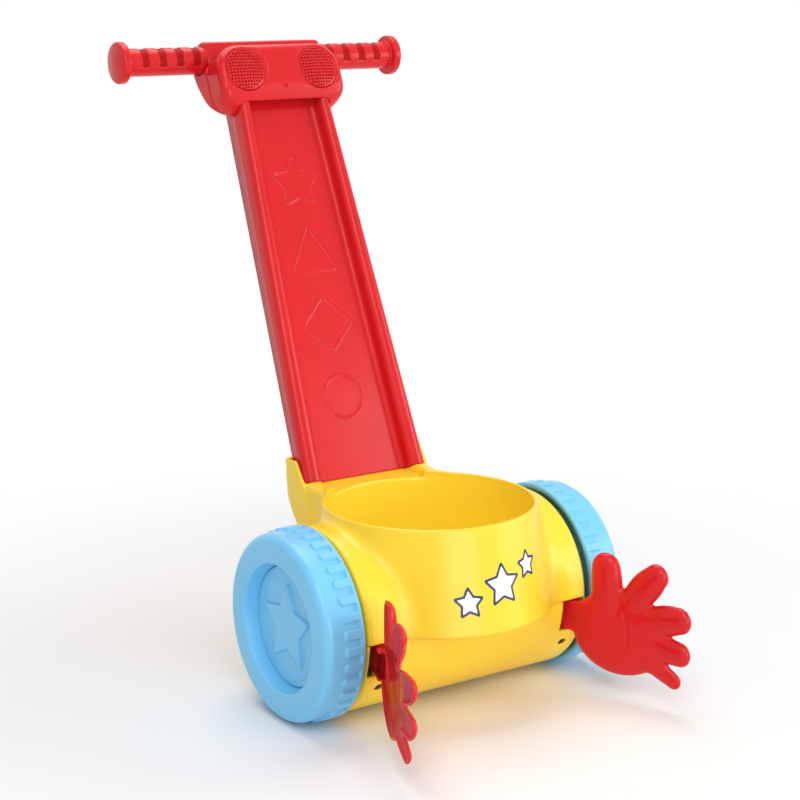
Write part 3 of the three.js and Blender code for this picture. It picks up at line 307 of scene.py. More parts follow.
def outline_distance(u, v, corners):
    """Distance in a plane to a closed outline, negative inside."""
    nearest = 1e9
    inside = False
    for start, end in zip(corners, np.roll(corners, -1, axis=0)):
        away, _ = segment_distance(u, v, start, end)
        nearest = np.minimum(nearest, away)
        spans = (start[1] > v) != (end[1] > v)
        rise = end[1] - start[1] if end[1] != start[1] else 1
        inside = inside ^ (spans & (u < (end[0] - start[0]) * (v - start[1]) / rise + start[0]))
    return np.where(inside, -nearest, nearest)


def path_distance(u, v, points):
    """Distance in a plane to an open path."""
    return np.minimum.reduce([segment_distance(u, v, a, b)[0] for a, b in zip(points, points[1:])])


def curve(start, pull, end, steps=10):
    """Points of a quadratic curve, both ends included."""
    share = np.linspace(0, 1, steps + 1)[:, None]
    start, pull, end = np.array(start), np.array(pull), np.array(end)
    return (1 - share) ** 2 * start + 2 * share * (1 - share) * pull + share ** 2 * end


def arc(centre, radius, start, end, steps=12):
    turn = np.linspace(start, end, steps + 1)
    return np.stack([centre[0] + radius * np.cos(turn), centre[1] + radius * np.sin(turn)], axis=1)


def star(radius, waist, points=5):
    turn = np.pi / 2 + np.pi * np.arange(2 * points) / points
    reach = np.where(np.arange(2 * points) % 2, radius * waist, radius)
    return np.stack([reach * np.cos(turn), reach * np.sin(turn)], axis=1)


CELL_CORNERS = [np.array([i, j, k]) for i in (0, 1) for j in (0, 1) for k in (0, 1)]
LEAST_SLOPE = 0.05            # squared, below it a field counts as level


def gradient(field, points, reach):
    steps = np.eye(3) * reach
    rows = [field(*(points + s).T) - field(*(points - s).T) for s in steps]
    return np.stack(rows, axis=1) / (2 * reach)


def crossed_cells(inside):
    """The cells of a grid that the surface passes through, and a grid of their numbers."""
    cells = np.array(inside.shape) - 1
    count = np.zeros(cells, np.int8)
    for i, j, k in CELL_CORNERS:
        count += inside[i:i + cells[0], j:j + cells[1], k:k + cells[2]]
    crossed = np.argwhere((count > 0) & (count < len(CELL_CORNERS)))
    number = np.full(cells, -1)
    number[tuple(crossed.T)] = np.arange(len(crossed))
    return crossed, number


def cell_points(value, crossed, step):
    """For each crossed cell, the mean of the places where the surface meets the cell's edges."""
    total = np.zeros((len(crossed), 3))
    hits = np.zeros((len(crossed), 1))
    for axis, unit in enumerate(np.eye(3, dtype=int)):
        for corner in CELL_CORNERS:
            if corner[axis]:
                continue
            first = crossed + corner
            a = value[tuple(first.T)]
            b = value[tuple((first + unit).T)]
            cross = ((a < 0) != (b < 0))[:, None]
            share = (a / np.where(a == b, 1, a - b))[:, None]
            total += np.where(cross, first + share * unit, 0)
            hits += cross
    return step * total / hits


def net_faces(inside, number):
    """A quad round each edge of the grid that the surface crosses, facing outward."""
    faces = []
    for axis in range(3):
        _, one, two = np.roll(np.eye(3, dtype=int), -axis, axis=0)
        here = tuple(slice(0, -1) if n == axis else slice(1, -1) for n in range(3))
        ahead = tuple(slice(1, None) if n == axis else slice(1, -1) for n in range(3))
        edges = np.argwhere(inside[here] != inside[ahead]) + one + two
        ring = [edges, edges - one, edges - one - two, edges - two]
        quads = np.stack([number[tuple(r.T)] for r in ring], axis=1)
        outward = inside[tuple(edges.T)]
        quads[~outward] = quads[~outward][:, ::-1]
        faces.append(quads)
    return np.concatenate(faces)


def net(field, low, high, step):
    """Mesh of a field's zero surface: one corner in each crossed cell, pulled onto the surface."""
    axes = [np.arange(a - 2 * step, b + 2 * step, step) for a, b in zip(low, high)]
    size = [len(a) for a in axes]
    value = np.broadcast_to(field(*np.meshgrid(*axes, indexing="ij", sparse=True)), size)
    inside = value < 0
    crossed, number = crossed_cells(inside)
    points = np.array([a[0] for a in axes]) + cell_points(value, crossed, step)
    for _ in range(3):
        slope = gradient(field, points, step / 8)
        move = field(*points.T) / np.maximum((slope ** 2).sum(1), LEAST_SLOPE)
        points -= slope * np.clip(move, -step / 2, step / 2)[:, None]
    return points, net_faces(inside, number)


# Meshes

def to_row(points):
    """Millimetres about the axle to metres in the row frame."""
    return points * MM + np.array([0, AXLE_SHIFT, 0])


def from_chute(points):
    """Across, along and in front of the chute's rails to millimetres about the axle."""
    x, run, rise = points.T
    y = CHUTE_Y + run * math.sin(LEAN) - rise * math.cos(LEAN)
    z = CHUTE_Z + run * math.cos(LEAN) + rise * math.sin(LEAN)
    return np.stack([x, y, z], axis=1)


def mirrored(points, faces):
    return points * np.array([-1, 1, 1]), faces[:, ::-1]


def mesh_piece(name, points, faces, material, body, slot, replaced=()):
    """A smooth mesh that rides on a CAD body and stands for the CAD nodes it replaces."""
    mesh = bpy.data.meshes.new(name)
    mesh.from_pydata(to_row(points).tolist(), [], [face.tolist() for face in faces])
    mesh.shade_smooth()
    mesh.materials.append(material)
    piece = bpy.data.objects.new(name, mesh)
    bpy.context.scene.collection.objects.link(piece)
    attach(piece, body)
    if replaced:
        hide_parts(*replaced)
    return piece


def add_tone(piece, material, chosen):
    """A second material on the chosen faces of a piece."""
    piece.data.materials.append(material)
    piece.data.polygons.foreach_set("material_index", chosen.astype(np.int32))


def grid_faces(rows, columns, close_rows=False, close_columns=False):
    """Quads between the points of a grid, numbered row by row."""
    r = np.arange(rows if close_rows else rows - 1)
    c = np.arange(columns if close_columns else columns - 1)
    r, c = (a.ravel() for a in np.meshgrid(r, c, indexing="ij"))
    r1, c1 = (r + 1) % rows, (c + 1) % columns
    return np.stack([r * columns + c, r * columns + c1, r1 * columns + c1, r1 * columns + c], axis=1)


def solid_sheet(points, faces, back):
    """A sheet made solid: its back points, turned over, and walls along its edges."""
    used, faces = np.unique(faces, return_inverse=True)
    faces = faces.reshape(-1, 4)
    count = len(used)
    edges = np.concatenate([faces[:, [n, (n + 1) % 4]] for n in range(4)])
    forward = edges[:, 0] * count + edges[:, 1]
    reverse = edges[:, 1] * count + edges[:, 0]
    a, b = edges[~np.isin(forward, reverse)].T
    walls = np.stack([b, a, a + count, b + count], axis=1)
    return np.concatenate([points[used], back[used]]), np.concatenate([faces, faces[:, ::-1] + count, walls])


def step_up(low, high, value):
    share = np.clip((value - low) / (high - low), 0, 1)
    return share * share * (3 - 2 * share)


# Materials

def noise(nodes, links, place, scale, detail):
    texture = nodes.new("ShaderNodeTexNoise")
    texture.inputs["Scale"].default_value = scale
    texture.inputs["Detail"].default_value = detail
    links.new(place.outputs["Object"], texture.inputs["Vector"])
    return texture.outputs["Fac"]


def plastic(name, colour, deep, roughness, coat, shine=0.5):
    """Moulded plastic: two close tones in soft clouds, a fine mould grain and a clear gloss."""
    material = bpy.data.materials.new(name)
    material.use_nodes = True
    nodes, links = material.node_tree.nodes, material.node_tree.links
    shader = nodes["Principled BSDF"]
    shader.inputs["Coat Weight"].default_value = coat
    shader.inputs["Coat Roughness"].default_value = 0.08
    shader.inputs["IOR"].default_value = 1.49
    shader.inputs["Specular IOR Level"].default_value = shine
    place = nodes.new("ShaderNodeTexCoord")
    clouds = noise(nodes, links, place, CLOUD_SCALE, 3)
    grain = noise(nodes, links, place, GRAIN_SCALE, 2)
    tone = nodes.new("ShaderNodeValToRGB")
    for stop, at, shade in zip(tone.color_ramp.elements, CLOUD_STOPS, (deep, colour)):
        stop.position = at
        stop.color = (*shade, 1)
    rough = nodes.new("ShaderNodeMapRange")
    rough.inputs["To Min"].default_value = roughness - 0.04
    rough.inputs["To Max"].default_value = roughness + 0.05
    bump = nodes.new("ShaderNodeBump")
    bump.inputs["Strength"].default_value = GRAIN_BUMP[0]
    bump.inputs["Distance"].default_value = GRAIN_BUMP[1]
    links.new(clouds, tone.inputs["Fac"])
    links.new(tone.outputs["Color"], shader.inputs["Base Color"])
    links.new(grain, rough.inputs["Value"])
    links.new(rough.outputs["Result"], shader.inputs["Roughness"])
    links.new(grain, bump.inputs["Height"])
    links.new(bump.outputs["Normal"], shader.inputs["Normal"])
    return material


def zinc_steel(name, colour):
    """Plated steel with fine clouds in its finish."""
    material = plastic(name, colour, [0.8 * c for c in colour], 0.3, 0)
    material.node_tree.nodes["Principled BSDF"].inputs["Metallic"].default_value = 1
    return material


yellow = plastic("yellow_moulded", (1.0, 0.70, 0.03), (0.98, 0.67, 0.026), 0.33, 0.1)
# paler copy of the yellow for the tub's inside: painted light
painted_light_yellow = plastic("yellow_inside_painted_light", (1.0, 0.79, 0.055), (0.98, 0.76, 0.05), 0.33, 0.1)
# dark brown yellow for the holes under the drum: painted shade
painted_shade_yellow = plastic("yellow_painted_shade_hole", (0.36, 0.17, 0.008), (0.30, 0.14, 0.007), 0.5, 0, 0.2)
red = plastic("red_moulded", (0.70, 0.013, 0.017), (0.66, 0.011, 0.015), 0.2, 0.05, 0.25)
blue = plastic("blue_moulded", (0.19, 0.60, 0.92), (0.17, 0.57, 0.90), 0.33, 0.15)
# darker red for the hands' arm pockets and the grips' grooves: painted shade
painted_shade_red = plastic("red_painted_shade", (0.42, 0.006, 0.008), (0.37, 0.005, 0.007), 0.45, 0, 0.1)
# darker red for the grilles' pits: painted shade
painted_shade_pit_red = plastic("red_painted_shade_pits", (0.36, 0.006, 0.008), (0.32, 0.005, 0.007), 0.5, 0, 0.1)
navy = plastic("navy_ink", (0.006, 0.035, 0.14), (0.005, 0.03, 0.12), 0.35, 0)
white = plastic("white_ink", (1.0, 1.0, 1.0), (0.97, 0.97, 0.97), 0.35, 0)
steel = zinc_steel("zinc_steel", (0.62, 0.63, 0.65))
# the pins' black steel is a real finish and also painted shade deep in the holes under the drum
black_steel_hole_shade = zinc_steel("black_steel_hole_shade", (0.05, 0.045, 0.04))


# Shells

def tub_ring(z):
    """Radius of the tub at a height, and the place of its middle from front to back."""
    share = (z - SEAM) / (RIM_HEIGHT - SEAM)
    return LIP_RADIUS + (RIM_RADIUS - LIP_RADIUS) * share, LIP_SHIFT + (RIM_SHIFT - LIP_SHIFT) * share


def tub_side(x, y, z):
    radius, middle = tub_ring(z)
    return np.hypot(x, y - middle) - radius


def drum(x, y, z, inset):
    side = np.hypot(y, z - AXLE_HEIGHT) - DRUM_RADIUS + inset
    return smooth_max(side, np.abs(x) - DRUM_HALF + inset, DRUM_EDGE)


def chute_place(y, z):
    """How far along the chute a point is, and how far in front of its rails."""
    run = (y - CHUTE_Y) * math.sin(LEAN) + (z - CHUTE_Z) * math.cos(LEAN)
    rise = (z - CHUTE_Z) * math.sin(LEAN) - (y - CHUTE_Y) * math.cos(LEAN)
    return run, rise


def chute_point(run, rise):
    return from_chute(np.array([[0.0, run, rise]]))[0, 1:]


# Back of the housing from the top down, y and z
HOUSING_BACK = [(127.4, 189.4), *curve((125, 160), (120, 140), (88, 116), 8), (72, 104)]
HOUSING_OUT = RAIL_OUT[0] + GAP + RAIL_LAP
RAIL_MIDDLE = (HOUSING_OUT + RAIL_IN[0]) / 2
RAIL_HALF = (HOUSING_OUT - RAIL_IN[0]) / 2


def housing_rails(x, y, z, run):
    """Rails that run on from the chute to the tub."""
    foot = chute_point(-GAP, 0)
    front = foot - np.array([RAIL_REACH, RAIL_FALL])
    block = np.array([foot, front, front - np.array([0, HOUSING_ROOT]), *HOUSING_BACK[::-1]])
    beside = np.abs(np.abs(x) - RAIL_MIDDLE) - RAIL_HALF
    rail = rounded(beside, outline_distance(y, z, block), RAIL_ROUND)
    return np.maximum(rail, run + GAP)


def housing(x, y, z):
    """The housing's rails, the cheeks outside them, its back wall and the bosses for the chute's screws."""
    run, rise = chute_place(y, z)
    cheek_middle = RAIL_OUT[0] + GAP + CHEEK / 2
    root = chute_point(-HOUSING_ROOT, CHEEK_TOP[0][1])
    outline = [root, *(chute_point(*place) for place in CHEEK_TOP), *HOUSING_BACK]
    beside = np.abs(np.abs(x) - cheek_middle) - CHEEK / 2
    cheek = rounded(outline_distance(y, z, np.array(outline)), beside, EDGE)
    back = path_distance(y, z, HOUSING_BACK) - SHELL_WALL / 2
    wall = rounded(back, np.abs(x) - cheek_middle - CHEEK / 2, EDGE)
    boss = np.hypot(np.abs(x) - CHUTE_SCREW["x"], run - CHUTE_SCREW["at"]) - BOSS_RADIUS
    boss = np.maximum(boss, np.maximum(-CHUTE_SCREW["back"] - rise, rise + CHUTE_SCREW["front"]))
    rails = housing_rails(x, y, z, run)
    return np.minimum(smooth_min(np.minimum(cheek, wall), rails, RAIL_BLEND), boss)


def chute_mouth(x, y, z):
    """The ledge from the chute into the tub, and the way for the balls above it."""
    run, _ = chute_place(y, z)
    top_y, top_z = chute_point(-GAP, -CHANNEL_DROP)
    above = (z - top_z - (y - top_y) * LEDGE_FALL / LEDGE_RUN) * LEDGE_RUN / math.hypot(LEDGE_FALL, LEDGE_RUN)
    behind = top_y - 2 * LEDGE_RUN - y
    beside = np.abs(x) - RAIL_MIDDLE
    ledge = np.maximum(np.maximum(above, -above - CHUTE_WALL), np.maximum(beside, run + GAP))
    mouth = smooth_max(np.abs(x) - RAIL_IN[0], -above, CHANNEL_FILLET)
    mouth = np.maximum(mouth, y - top_y - GAP)
    return np.maximum(ledge, behind), np.maximum(mouth, behind)


def upper_shell(x, y, z):
    side = tub_side(x, y, z)
    ledge, mouth = chute_mouth(x, y, z)
    outside = smooth_max(smooth_min(drum(x, y, z, 0), side, TUB_BLEND), z - RIM_HEIGHT, RIM_ROUND)
    whole = smooth_min(outside, housing(x, y, z), HOUSING_BLEND)
    inside = smooth_max(side + TUB_WALL, TUB_FLOOR - z, FLOOR_ROUND)
    under_tub = np.maximum(side + TUB_WALL, z - TUB_FLOOR + SHELL_WALL)
    under_drum = np.maximum(drum(x, y, z, SHELL_WALL), -side)
    whole = smooth_max(whole, -inside, RIM_ROUND)
    whole = smooth_max(whole, -mouth, MOUTH_BLEND)
    whole = np.minimum(whole, smooth_max(ledge, -inside, EDGE))
    whole = np.maximum(whole, -np.minimum(under_tub, under_drum))
    return smooth_max(whole, SEAM + GAP / 2 - z, EDGE)


FOOT_OUTLINE = np.array([     # rear foot, y and z
    *curve((79, 66), (104, 34), (128, 10), 8), (128, 0), *curve((104, 0), (80, 5), (48, 20), 8),
])
FOOT_HALF = 34
FOOT_ROUND = 2
HATCH = {"from": 51, "to": 101, "top": 20}      # opening under the foot
HOLE_RADIUS = 4               # hole at the foot of the hand's pin
HOLE_DEPTH = 16
HOLE_DOWN = math.radians(32)
PIN_FOOT = 44
PIN_BOSS = 5
PIN_BORE = 2.4
PIN_EDGE = 0.5
BODY_SCREW = {"x": 98, "y": 50, "seat": 60}
SLOT = {"in": 88.5, "out": 112, "low": 54.5}


def hole_place(x, y, z):
    """How far a point lies from the axis of the nearer hole, and how far out from the axle along it."""
    reach = -y * math.cos(HOLE_DOWN) - (z - AXLE_HEIGHT) * math.sin(HOLE_DOWN)
    aside = y * math.sin(HOLE_DOWN) - (z - AXLE_HEIGHT) * math.cos(HOLE_DOWN)
    return np.hypot(np.abs(x) - PIVOT_X, aside), reach


def foot_shell(x, y, z):
    """Rear foot: a hollow box, open below."""
    foot = outline_distance(y, z, FOOT_OUTLINE)
    beside = np.abs(x) - FOOT_HALF
    room = np.maximum(foot + SHELL_WALL, beside + SHELL_WALL)
    hatch = np.maximum(beside + SHELL_WALL, z - HATCH["top"])
    hatch = np.maximum(hatch, np.maximum(HATCH["from"] - y, y - HATCH["to"]))
    return np.maximum(rounded(foot, beside, FOOT_ROUND), -np.minimum(room, hatch))


def lower_shell(x, y, z):
    """Drum trough with its rear foot, the arm slots, the pins' bosses and holes, and screw seats."""
    whole = smooth_min(drum(x, y, z, 0), foot_shell(x, y, z), FOOT_BLEND)
    slot_middle = (SLOT["in"] + SLOT["out"]) / 2
    slot = np.abs(np.abs(x) - slot_middle) - (SLOT["out"] - SLOT["in"]) / 2
    slot = np.maximum(np.maximum(slot, SLOT["low"] - z), y - PIVOT_Y)
    pin = np.hypot(np.abs(x) - PIVOT_X, y - PIVOT_Y)
    boss = np.maximum(np.maximum(pin - PIN_BOSS, z - SLOT["low"]), drum(x, y, z, 0))
    whole = np.maximum(whole, -drum(x, y, z, SHELL_WALL))
    whole = np.minimum(whole, boss)
    whole = smooth_max(whole, -slot, EDGE)
    away, reach = hole_place(x, y, z)
    hole = np.maximum(away - HOLE_RADIUS, DRUM_RADIUS - HOLE_DEPTH - reach)
    bore = np.maximum(pin - PIN_BORE, PIN_FOOT - z)
    whole = smooth_max(whole, -np.minimum(hole, bore), PIN_EDGE)
    screw = np.hypot(np.abs(x) - BODY_SCREW["x"], y - BODY_SCREW["y"]) - COUNTERBORE
    screw = np.maximum(screw, z - BODY_SCREW["seat"])
    whole = smooth_max(whole, -screw, EDGE)
    return smooth_max(whole, z - SEAM + GAP / 2, EDGE)


def make_shells():
    points, faces = net(upper_shell, *NETS["upper_shell"])
    piece = mesh_piece("upper_moulding", points, faces, yellow, "body", "yellow_plastic", ["upper_shell"])
    x, y, z = points[faces].mean(axis=1).T
    # the tub's inner faces get the paler yellow: painted light
    inside = (tub_side(x, y, z) < -TUB_WALL / 2) & (z > TUB_FLOOR - 1) & (z < RIM_HEIGHT - PAINTED_LIGHT_DROP)
    add_tone(piece, painted_light_yellow, inside)
    points, faces = net(lower_shell, *NETS["lower_shell"])
    piece = mesh_piece("lower_moulding", points, faces, yellow, "body", "yellow_plastic", ["lower_shell"])
    away, reach = hole_place(*points[faces].mean(axis=1).T)
    # the holes' walls get the dark brown: painted shade
    add_tone(piece, painted_shade_yellow, (away < HOLE_RADIUS + 1) & (reach > 0) & (reach < DRUM_RADIUS - 1))


# Wheels

def turned(profile, segments, swell=None):
    """A closed profile of (across, radius) points turned about the x axis; swell adds to the radius."""
    across, radius = np.array(profile, float).T
    turn = 2 * np.pi * np.arange(segments) / segments
    a, t = np.meshgrid(across, turn, indexing="ij")
    r = np.broadcast_to(radius[:, None], a.shape)
    if swell is not None:
        r = r + swell(a, t, r)
    points = np.stack([a, r * np.cos(t), r * np.sin(t)], axis=-1).reshape(-1, 3)
    faces = grid_faces(len(profile), segments, True, True)
    return points, faces


def wheel_profile():
    """Across the tread from its inner edge, over the shoulder, into the hub recess and back inside."""
    tread = WHEEL_RADIUS - LUG_HEIGHT
    seat = WHEEL_WIDTH - HUB_DEPTH - CAP_THICKNESS - GAP
    back = seat - SHELL_WALL
    cap_edge = HUB_MOUTH - HUB_TAPER
    outer = [(a, tread) for a in np.arange(TREAD_CHAMFER, LUG_REACH + 3, TREAD_STEP)]
    shoulder = arc((WHEEL_WIDTH - TYRE_SHOULDER, tread - TYRE_SHOULDER), TYRE_SHOULDER, np.pi / 2, 0, 14)
    round_middle = (WHEEL_WIDTH - MOUTH_ROUND, HUB_MOUTH + MOUTH_ROUND)
    mouth = arc(round_middle, MOUTH_ROUND, 0, -np.pi / 2 + MOUTH_LEAN, 8)
    return [
        (0, tread - TREAD_CHAMFER), *outer, *shoulder, (WHEEL_WIDTH + SIDE_CREST[0], SIDE_CREST[1]), *mouth,
        (seat + HUB_STEP, cap_edge), (seat, cap_edge), (seat, AXLE_BORE), (HUB_INNER, AXLE_BORE),
        (HUB_INNER, HUB_RADIUS), (back, HUB_RADIUS), (back, cap_edge + SHELL_WALL),
        (WHEEL_WIDTH - RIM_INSIDE, HUB_MOUTH + RIM_INSIDE),
        (WHEEL_WIDTH - SHOULDER_INSIDE[0], tread - SHELL_WALL - SHOULDER_INSIDE[1]), (0, tread - SHELL_WALL),
    ]


def lugs(across, turn, radius):
    """Raised lugs with rounded ends, joined by a band at the inner edge of the tread."""
    pitch = 2 * np.pi * WHEEL_RADIUS / LUG_COUNT
    beside = np.abs((turn * WHEEL_RADIUS + pitch / 2) % pitch - pitch / 2) - LUG_WIDTH / 2
    end = rounded(across - LUG_REACH, beside, LUG_CORNER)
    lug, band = (1 - step_up(-LUG_SIDE, LUG_SIDE, away) for away in (end, across - LUG_BAND))
    on_tread = (radius > WHEEL_RADIUS - LUG_HEIGHT - 1) & (across < LUG_REACH + 2)
    return np.where(on_tread, (LUG_HEIGHT - LUG_SINK) * np.maximum(lug, band), 0)


def cap_field(across, y, z):
    """Hub cap: a disc with a soft raised star."""
    away = np.hypot(y, z)
    disc = rounded(away - CAP_RADIUS, np.maximum(across - CAP_THICKNESS, -across), FINE_EDGE)
    shape = outline_distance(y, z, star(STAR_RADIUS, STAR_WAIST))
    height = np.maximum(across - CAP_THICKNESS - STAR_HEIGHT, STAR_ROOT - across)
    figure = rounded(shape - STAR_SWELL, height, STAR_ROUND)
    return smooth_min(disc, figure, STAR_BLEND)


def make_wheels():
    points, faces = turned(wheel_profile(), LUG_COUNT * LUG_SEGMENTS, lugs)
    points = points + np.array([WHEEL_INNER, 0, AXLE_HEIGHT])
    cap, cap_faces = net(cap_field, *NETS["hub_cap"])
    cap = cap + np.array([WHEEL_INNER + WHEEL_WIDTH - HUB_DEPTH - CAP_THICKNESS, 0, AXLE_HEIGHT])
    for side in ("right", "left"):
        if side == "left":
            points, faces = mirrored(points, faces)
            cap, cap_faces = mirrored(cap, cap_faces)
        mesh_piece(f"tyre_{side}", points, faces, blue, f"{side}_wheel", "blue_plastic", [f"wheel_{side}"])
        mesh_piece(f"star_cap_{side}", cap, cap_faces, blue, f"{side}_wheel", "blue_plastic",
                   [f"hub_cap_{side}"])


# Hands

def petal(flat, lift, edge, bulge):
    """Distance to a form that swells from its outline to its full height over the width of its edge."""
    across = np.maximum(flat + edge, 0)
    over = lift * edge / bulge
    away = np.hypot(across, over) + 1e-9
    return (away - edge) * away / (np.hypot(across, over * edge / bulge) + 1e-9)


def hand_skin(along, up, bent):
    """The outside of palm and fingers, with a crease across the palm."""
    a, b = (along - PALM["along"]) / PALM["half"], (up - PALM["up"]) / PALM["tall"]
    away = np.hypot(a, b)
    flat = (away - 1) * away / np.maximum(np.hypot(a / PALM["half"], b / PALM["tall"]), 1e-6)
    skin = petal(flat, bent, PALM["edge"], PALM["bulge"])
    for start, end, root, half, tip in FINGERS:
        away, share = segment_distance(along, up, start, end)
        radius = root * (1 - share) ** 2 + 2 * half * share * (1 - share) + tip * share ** 2
        skin = smooth_min(skin, petal(away - radius, bent, radius, FINGER_BULGE * radius), FINGER_WEB)
    bowed = along + CREASE["bow"] * (up - CREASE["middle"]) ** 2
    high, low = ((CREASE["at"], CREASE[end]) for end in ("high", "low"))
    crease, _ = segment_distance(bowed, up, high, low)
    return skin + CREASE["depth"] * np.exp(-(crease / CREASE["width"]) ** 2)


def hand_field(along, up, inward):
    """A thin scoop of palm and fingers on a channel-shaped arm."""
    curl = np.clip((along - CURL_FROM) / CURL_OVER, 0, CURL_MOST)
    bent = inward - HAND_RIM - HAND_CURL * curl ** CURL_POWER
    skin = hand_skin(along, up, bent)
    scoop = smooth_max(smooth_max(skin, -skin - HAND_WALL, FINE_EDGE), -bent, FINE_EDGE)
    ends = np.abs(along - (ARM["reach"] + ARM["back"]) / 2) - (ARM["reach"] - ARM["back"]) / 2
    edges = np.abs(up - (ARM["high"] + ARM["low"]) / 2) - (ARM["high"] - ARM["low"]) / 2
    box = rounded(ends, np.maximum(edges, np.maximum(inward - ARM["in"], ARM["out"] - inward)), EDGE)
    pocket = np.maximum(np.maximum(edges, inward - ARM["in"]) + HAND_WALL, ARM["back"] + HAND_WALL - along)
    arm = smooth_max(box, -pocket, SOFT_EDGE)
    pin = np.hypot(along, inward)
    arm = np.minimum(arm, np.maximum(pin - HAND_BOSS, edges))
    return np.maximum(smooth_min(scoop, arm, ARM_BLEND), HAND_BORE - pin)


def make_hands():
    points, faces = net(hand_field, *NETS["hand"])
    along, up, inward = points.T
    x = PIVOT_X + along * math.sin(SPLAY) - inward * math.cos(SPLAY)
    y = PIVOT_Y - along * math.cos(SPLAY) - inward * math.sin(SPLAY)
    points = np.stack([x, y, up], axis=1)
    middle_along, middle_up, middle_in = np.stack([along, up, inward], axis=1)[faces].mean(axis=1).T
    # faces deep in the arm's pocket get the darker red: painted shade
    deep = (middle_in > ARM["out"] + 1) & (middle_in < ARM["in"] - HAND_WALL + 1)
    deep &= (middle_up > ARM["low"] + 1) & (middle_up < ARM["high"] - 1) & (middle_along < ARM["reach"])
    for side in ("right", "left"):
        if side == "left":
            points, faces = mirrored(points, faces)
        piece = mesh_piece(f"scoop_hand_{side}", points, faces, red, f"{side}_hand", "red_plastic",
                           [f"hand_{side}"])
        add_tone(piece, painted_shade_red, deep)


# Chute

def emblem_distance(x, run):
    """Distance to the nearest raised outline on the channel floor."""
    outlines = [
        (EMBLEM_STAR[0], star(EMBLEM_STAR[1], STAR_WAIST)),
        (EMBLEM_TRIANGLE[0], TRIANGLE * EMBLEM_TRIANGLE[1]),
        (EMBLEM_DIAMOND[0], DIAMOND * EMBLEM_DIAMOND[1]),
    ]
    away = [np.abs(outline_distance(x, run - at, corners) - EMBLEM_ROUND) for at, corners in outlines]
    away.append(np.abs(np.hypot(x, run - EMBLEM_CIRCLE[0]) - EMBLEM_CIRCLE[1]))
    return np.minimum.reduce(away)


def channel_section(run):
    """The chute's closed section at one place: over the rails and floor, and back along the inside."""
    share = run / CHUTE_SPAN
    outer, inner, depth = (low + (high - low) * share for low, high in (RAIL_OUT, RAIL_IN, SIDE_DEPTH))
    middle, half = (outer + inner) / 2, (outer - inner) / 2
    rail = arc((0, 0), 1, 0, np.pi, 16) * [half, RAIL_ROUND] + [middle, -RAIL_ROUND]
    corner = arc((inner - CHANNEL_FILLET, CHANNEL_FILLET - CHANNEL_DROP), CHANNEL_FILLET, 0, -np.pi / 2, 6)
    across = np.linspace(inner - CHANNEL_FILLET, 0, FLOOR_POINTS)[1:]
    floor = np.stack([across, np.full(len(across), -CHANNEL_DROP)], axis=1)
    right = np.concatenate([[(outer, -depth), (outer, -depth / 2)], rail, corner, floor])
    top = np.concatenate([right, right[-2::-1] * [-1, 1]])
    wall = CHUTE_WALL
    back = np.array([
        (outer - wall, -depth), (outer - wall, -RAIL_ROUND), (middle, -wall), (inner + wall, -RAIL_ROUND),
        (inner + wall, -CHANNEL_DROP - wall), (0, -CHANNEL_DROP - wall),
    ])
    under = np.concatenate([back[:-1] * [-1, 1], back[::-1]])
    return np.concatenate([top, under]), len(top)


def make_chute():
    rows = []
    for run in np.arange(0, CHUTE_TOP + SECTION_STEP / 2, SECTION_STEP):
        section, top = channel_section(run)
        rows.append(np.column_stack([section[:, 0], np.full(len(section), run), section[:, 1]]))
    points = np.array(rows)
    surface = points[:, :top]
    away = emblem_distance(surface[..., 0], surface[..., 1])
    lift = RIDGE_HEIGHT * (1 - step_up(RIDGE_FLAT, RIDGE_WIDTH / 2 + RIDGE_FLAT, away))
    surface[..., 2] += np.where(surface[..., 2] < FLOOR_NEAR - CHANNEL_DROP, lift, 0)
    number = np.arange(points.shape[0] * points.shape[1]).reshape(points.shape[:2])
    sides = grid_faces(*number.shape, False, True)[:, ::-1]
    faces = [*sides, number[0], number[-1, ::-1]]
    placed = from_chute(points.reshape(-1, 3))
    mesh_piece("ball_chute", placed, faces, red, "body", "red_plastic", ["chute"])


# Head and handlebar

def both_sides(right):
    """The right half of an outline, and its mirror image on the way back."""
    return np.concatenate([right, right[::-1] * [-1, 1]])


def head_low_corner():
    return arc((HEAD_LOW_HALF, HEAD_LOW + LOW_CORNER), LOW_CORNER, -np.pi / 2, 0, 10)


def head_outline():
    high_corner = arc((HEAD_HALF - HIGH_CORNER, GRILLE_AT), HIGH_CORNER, 0, np.pi / 2, 12)
    return both_sides(np.concatenate([head_low_corner(), high_corner]))


def chute_room(x, run, rise):
    """Where the chute runs up into the head."""
    outer = RAIL_OUT[0] + (RAIL_OUT[1] - RAIL_OUT[0]) * run / CHUTE_SPAN
    over = rounded(np.abs(x) - outer - GAP, rise - GAP, RAIL_ROUND)
    return np.maximum(np.maximum(over, run - CHUTE_TOP - GAP), -SIDE_DEPTH[1] - ROOM_BEHIND - rise)


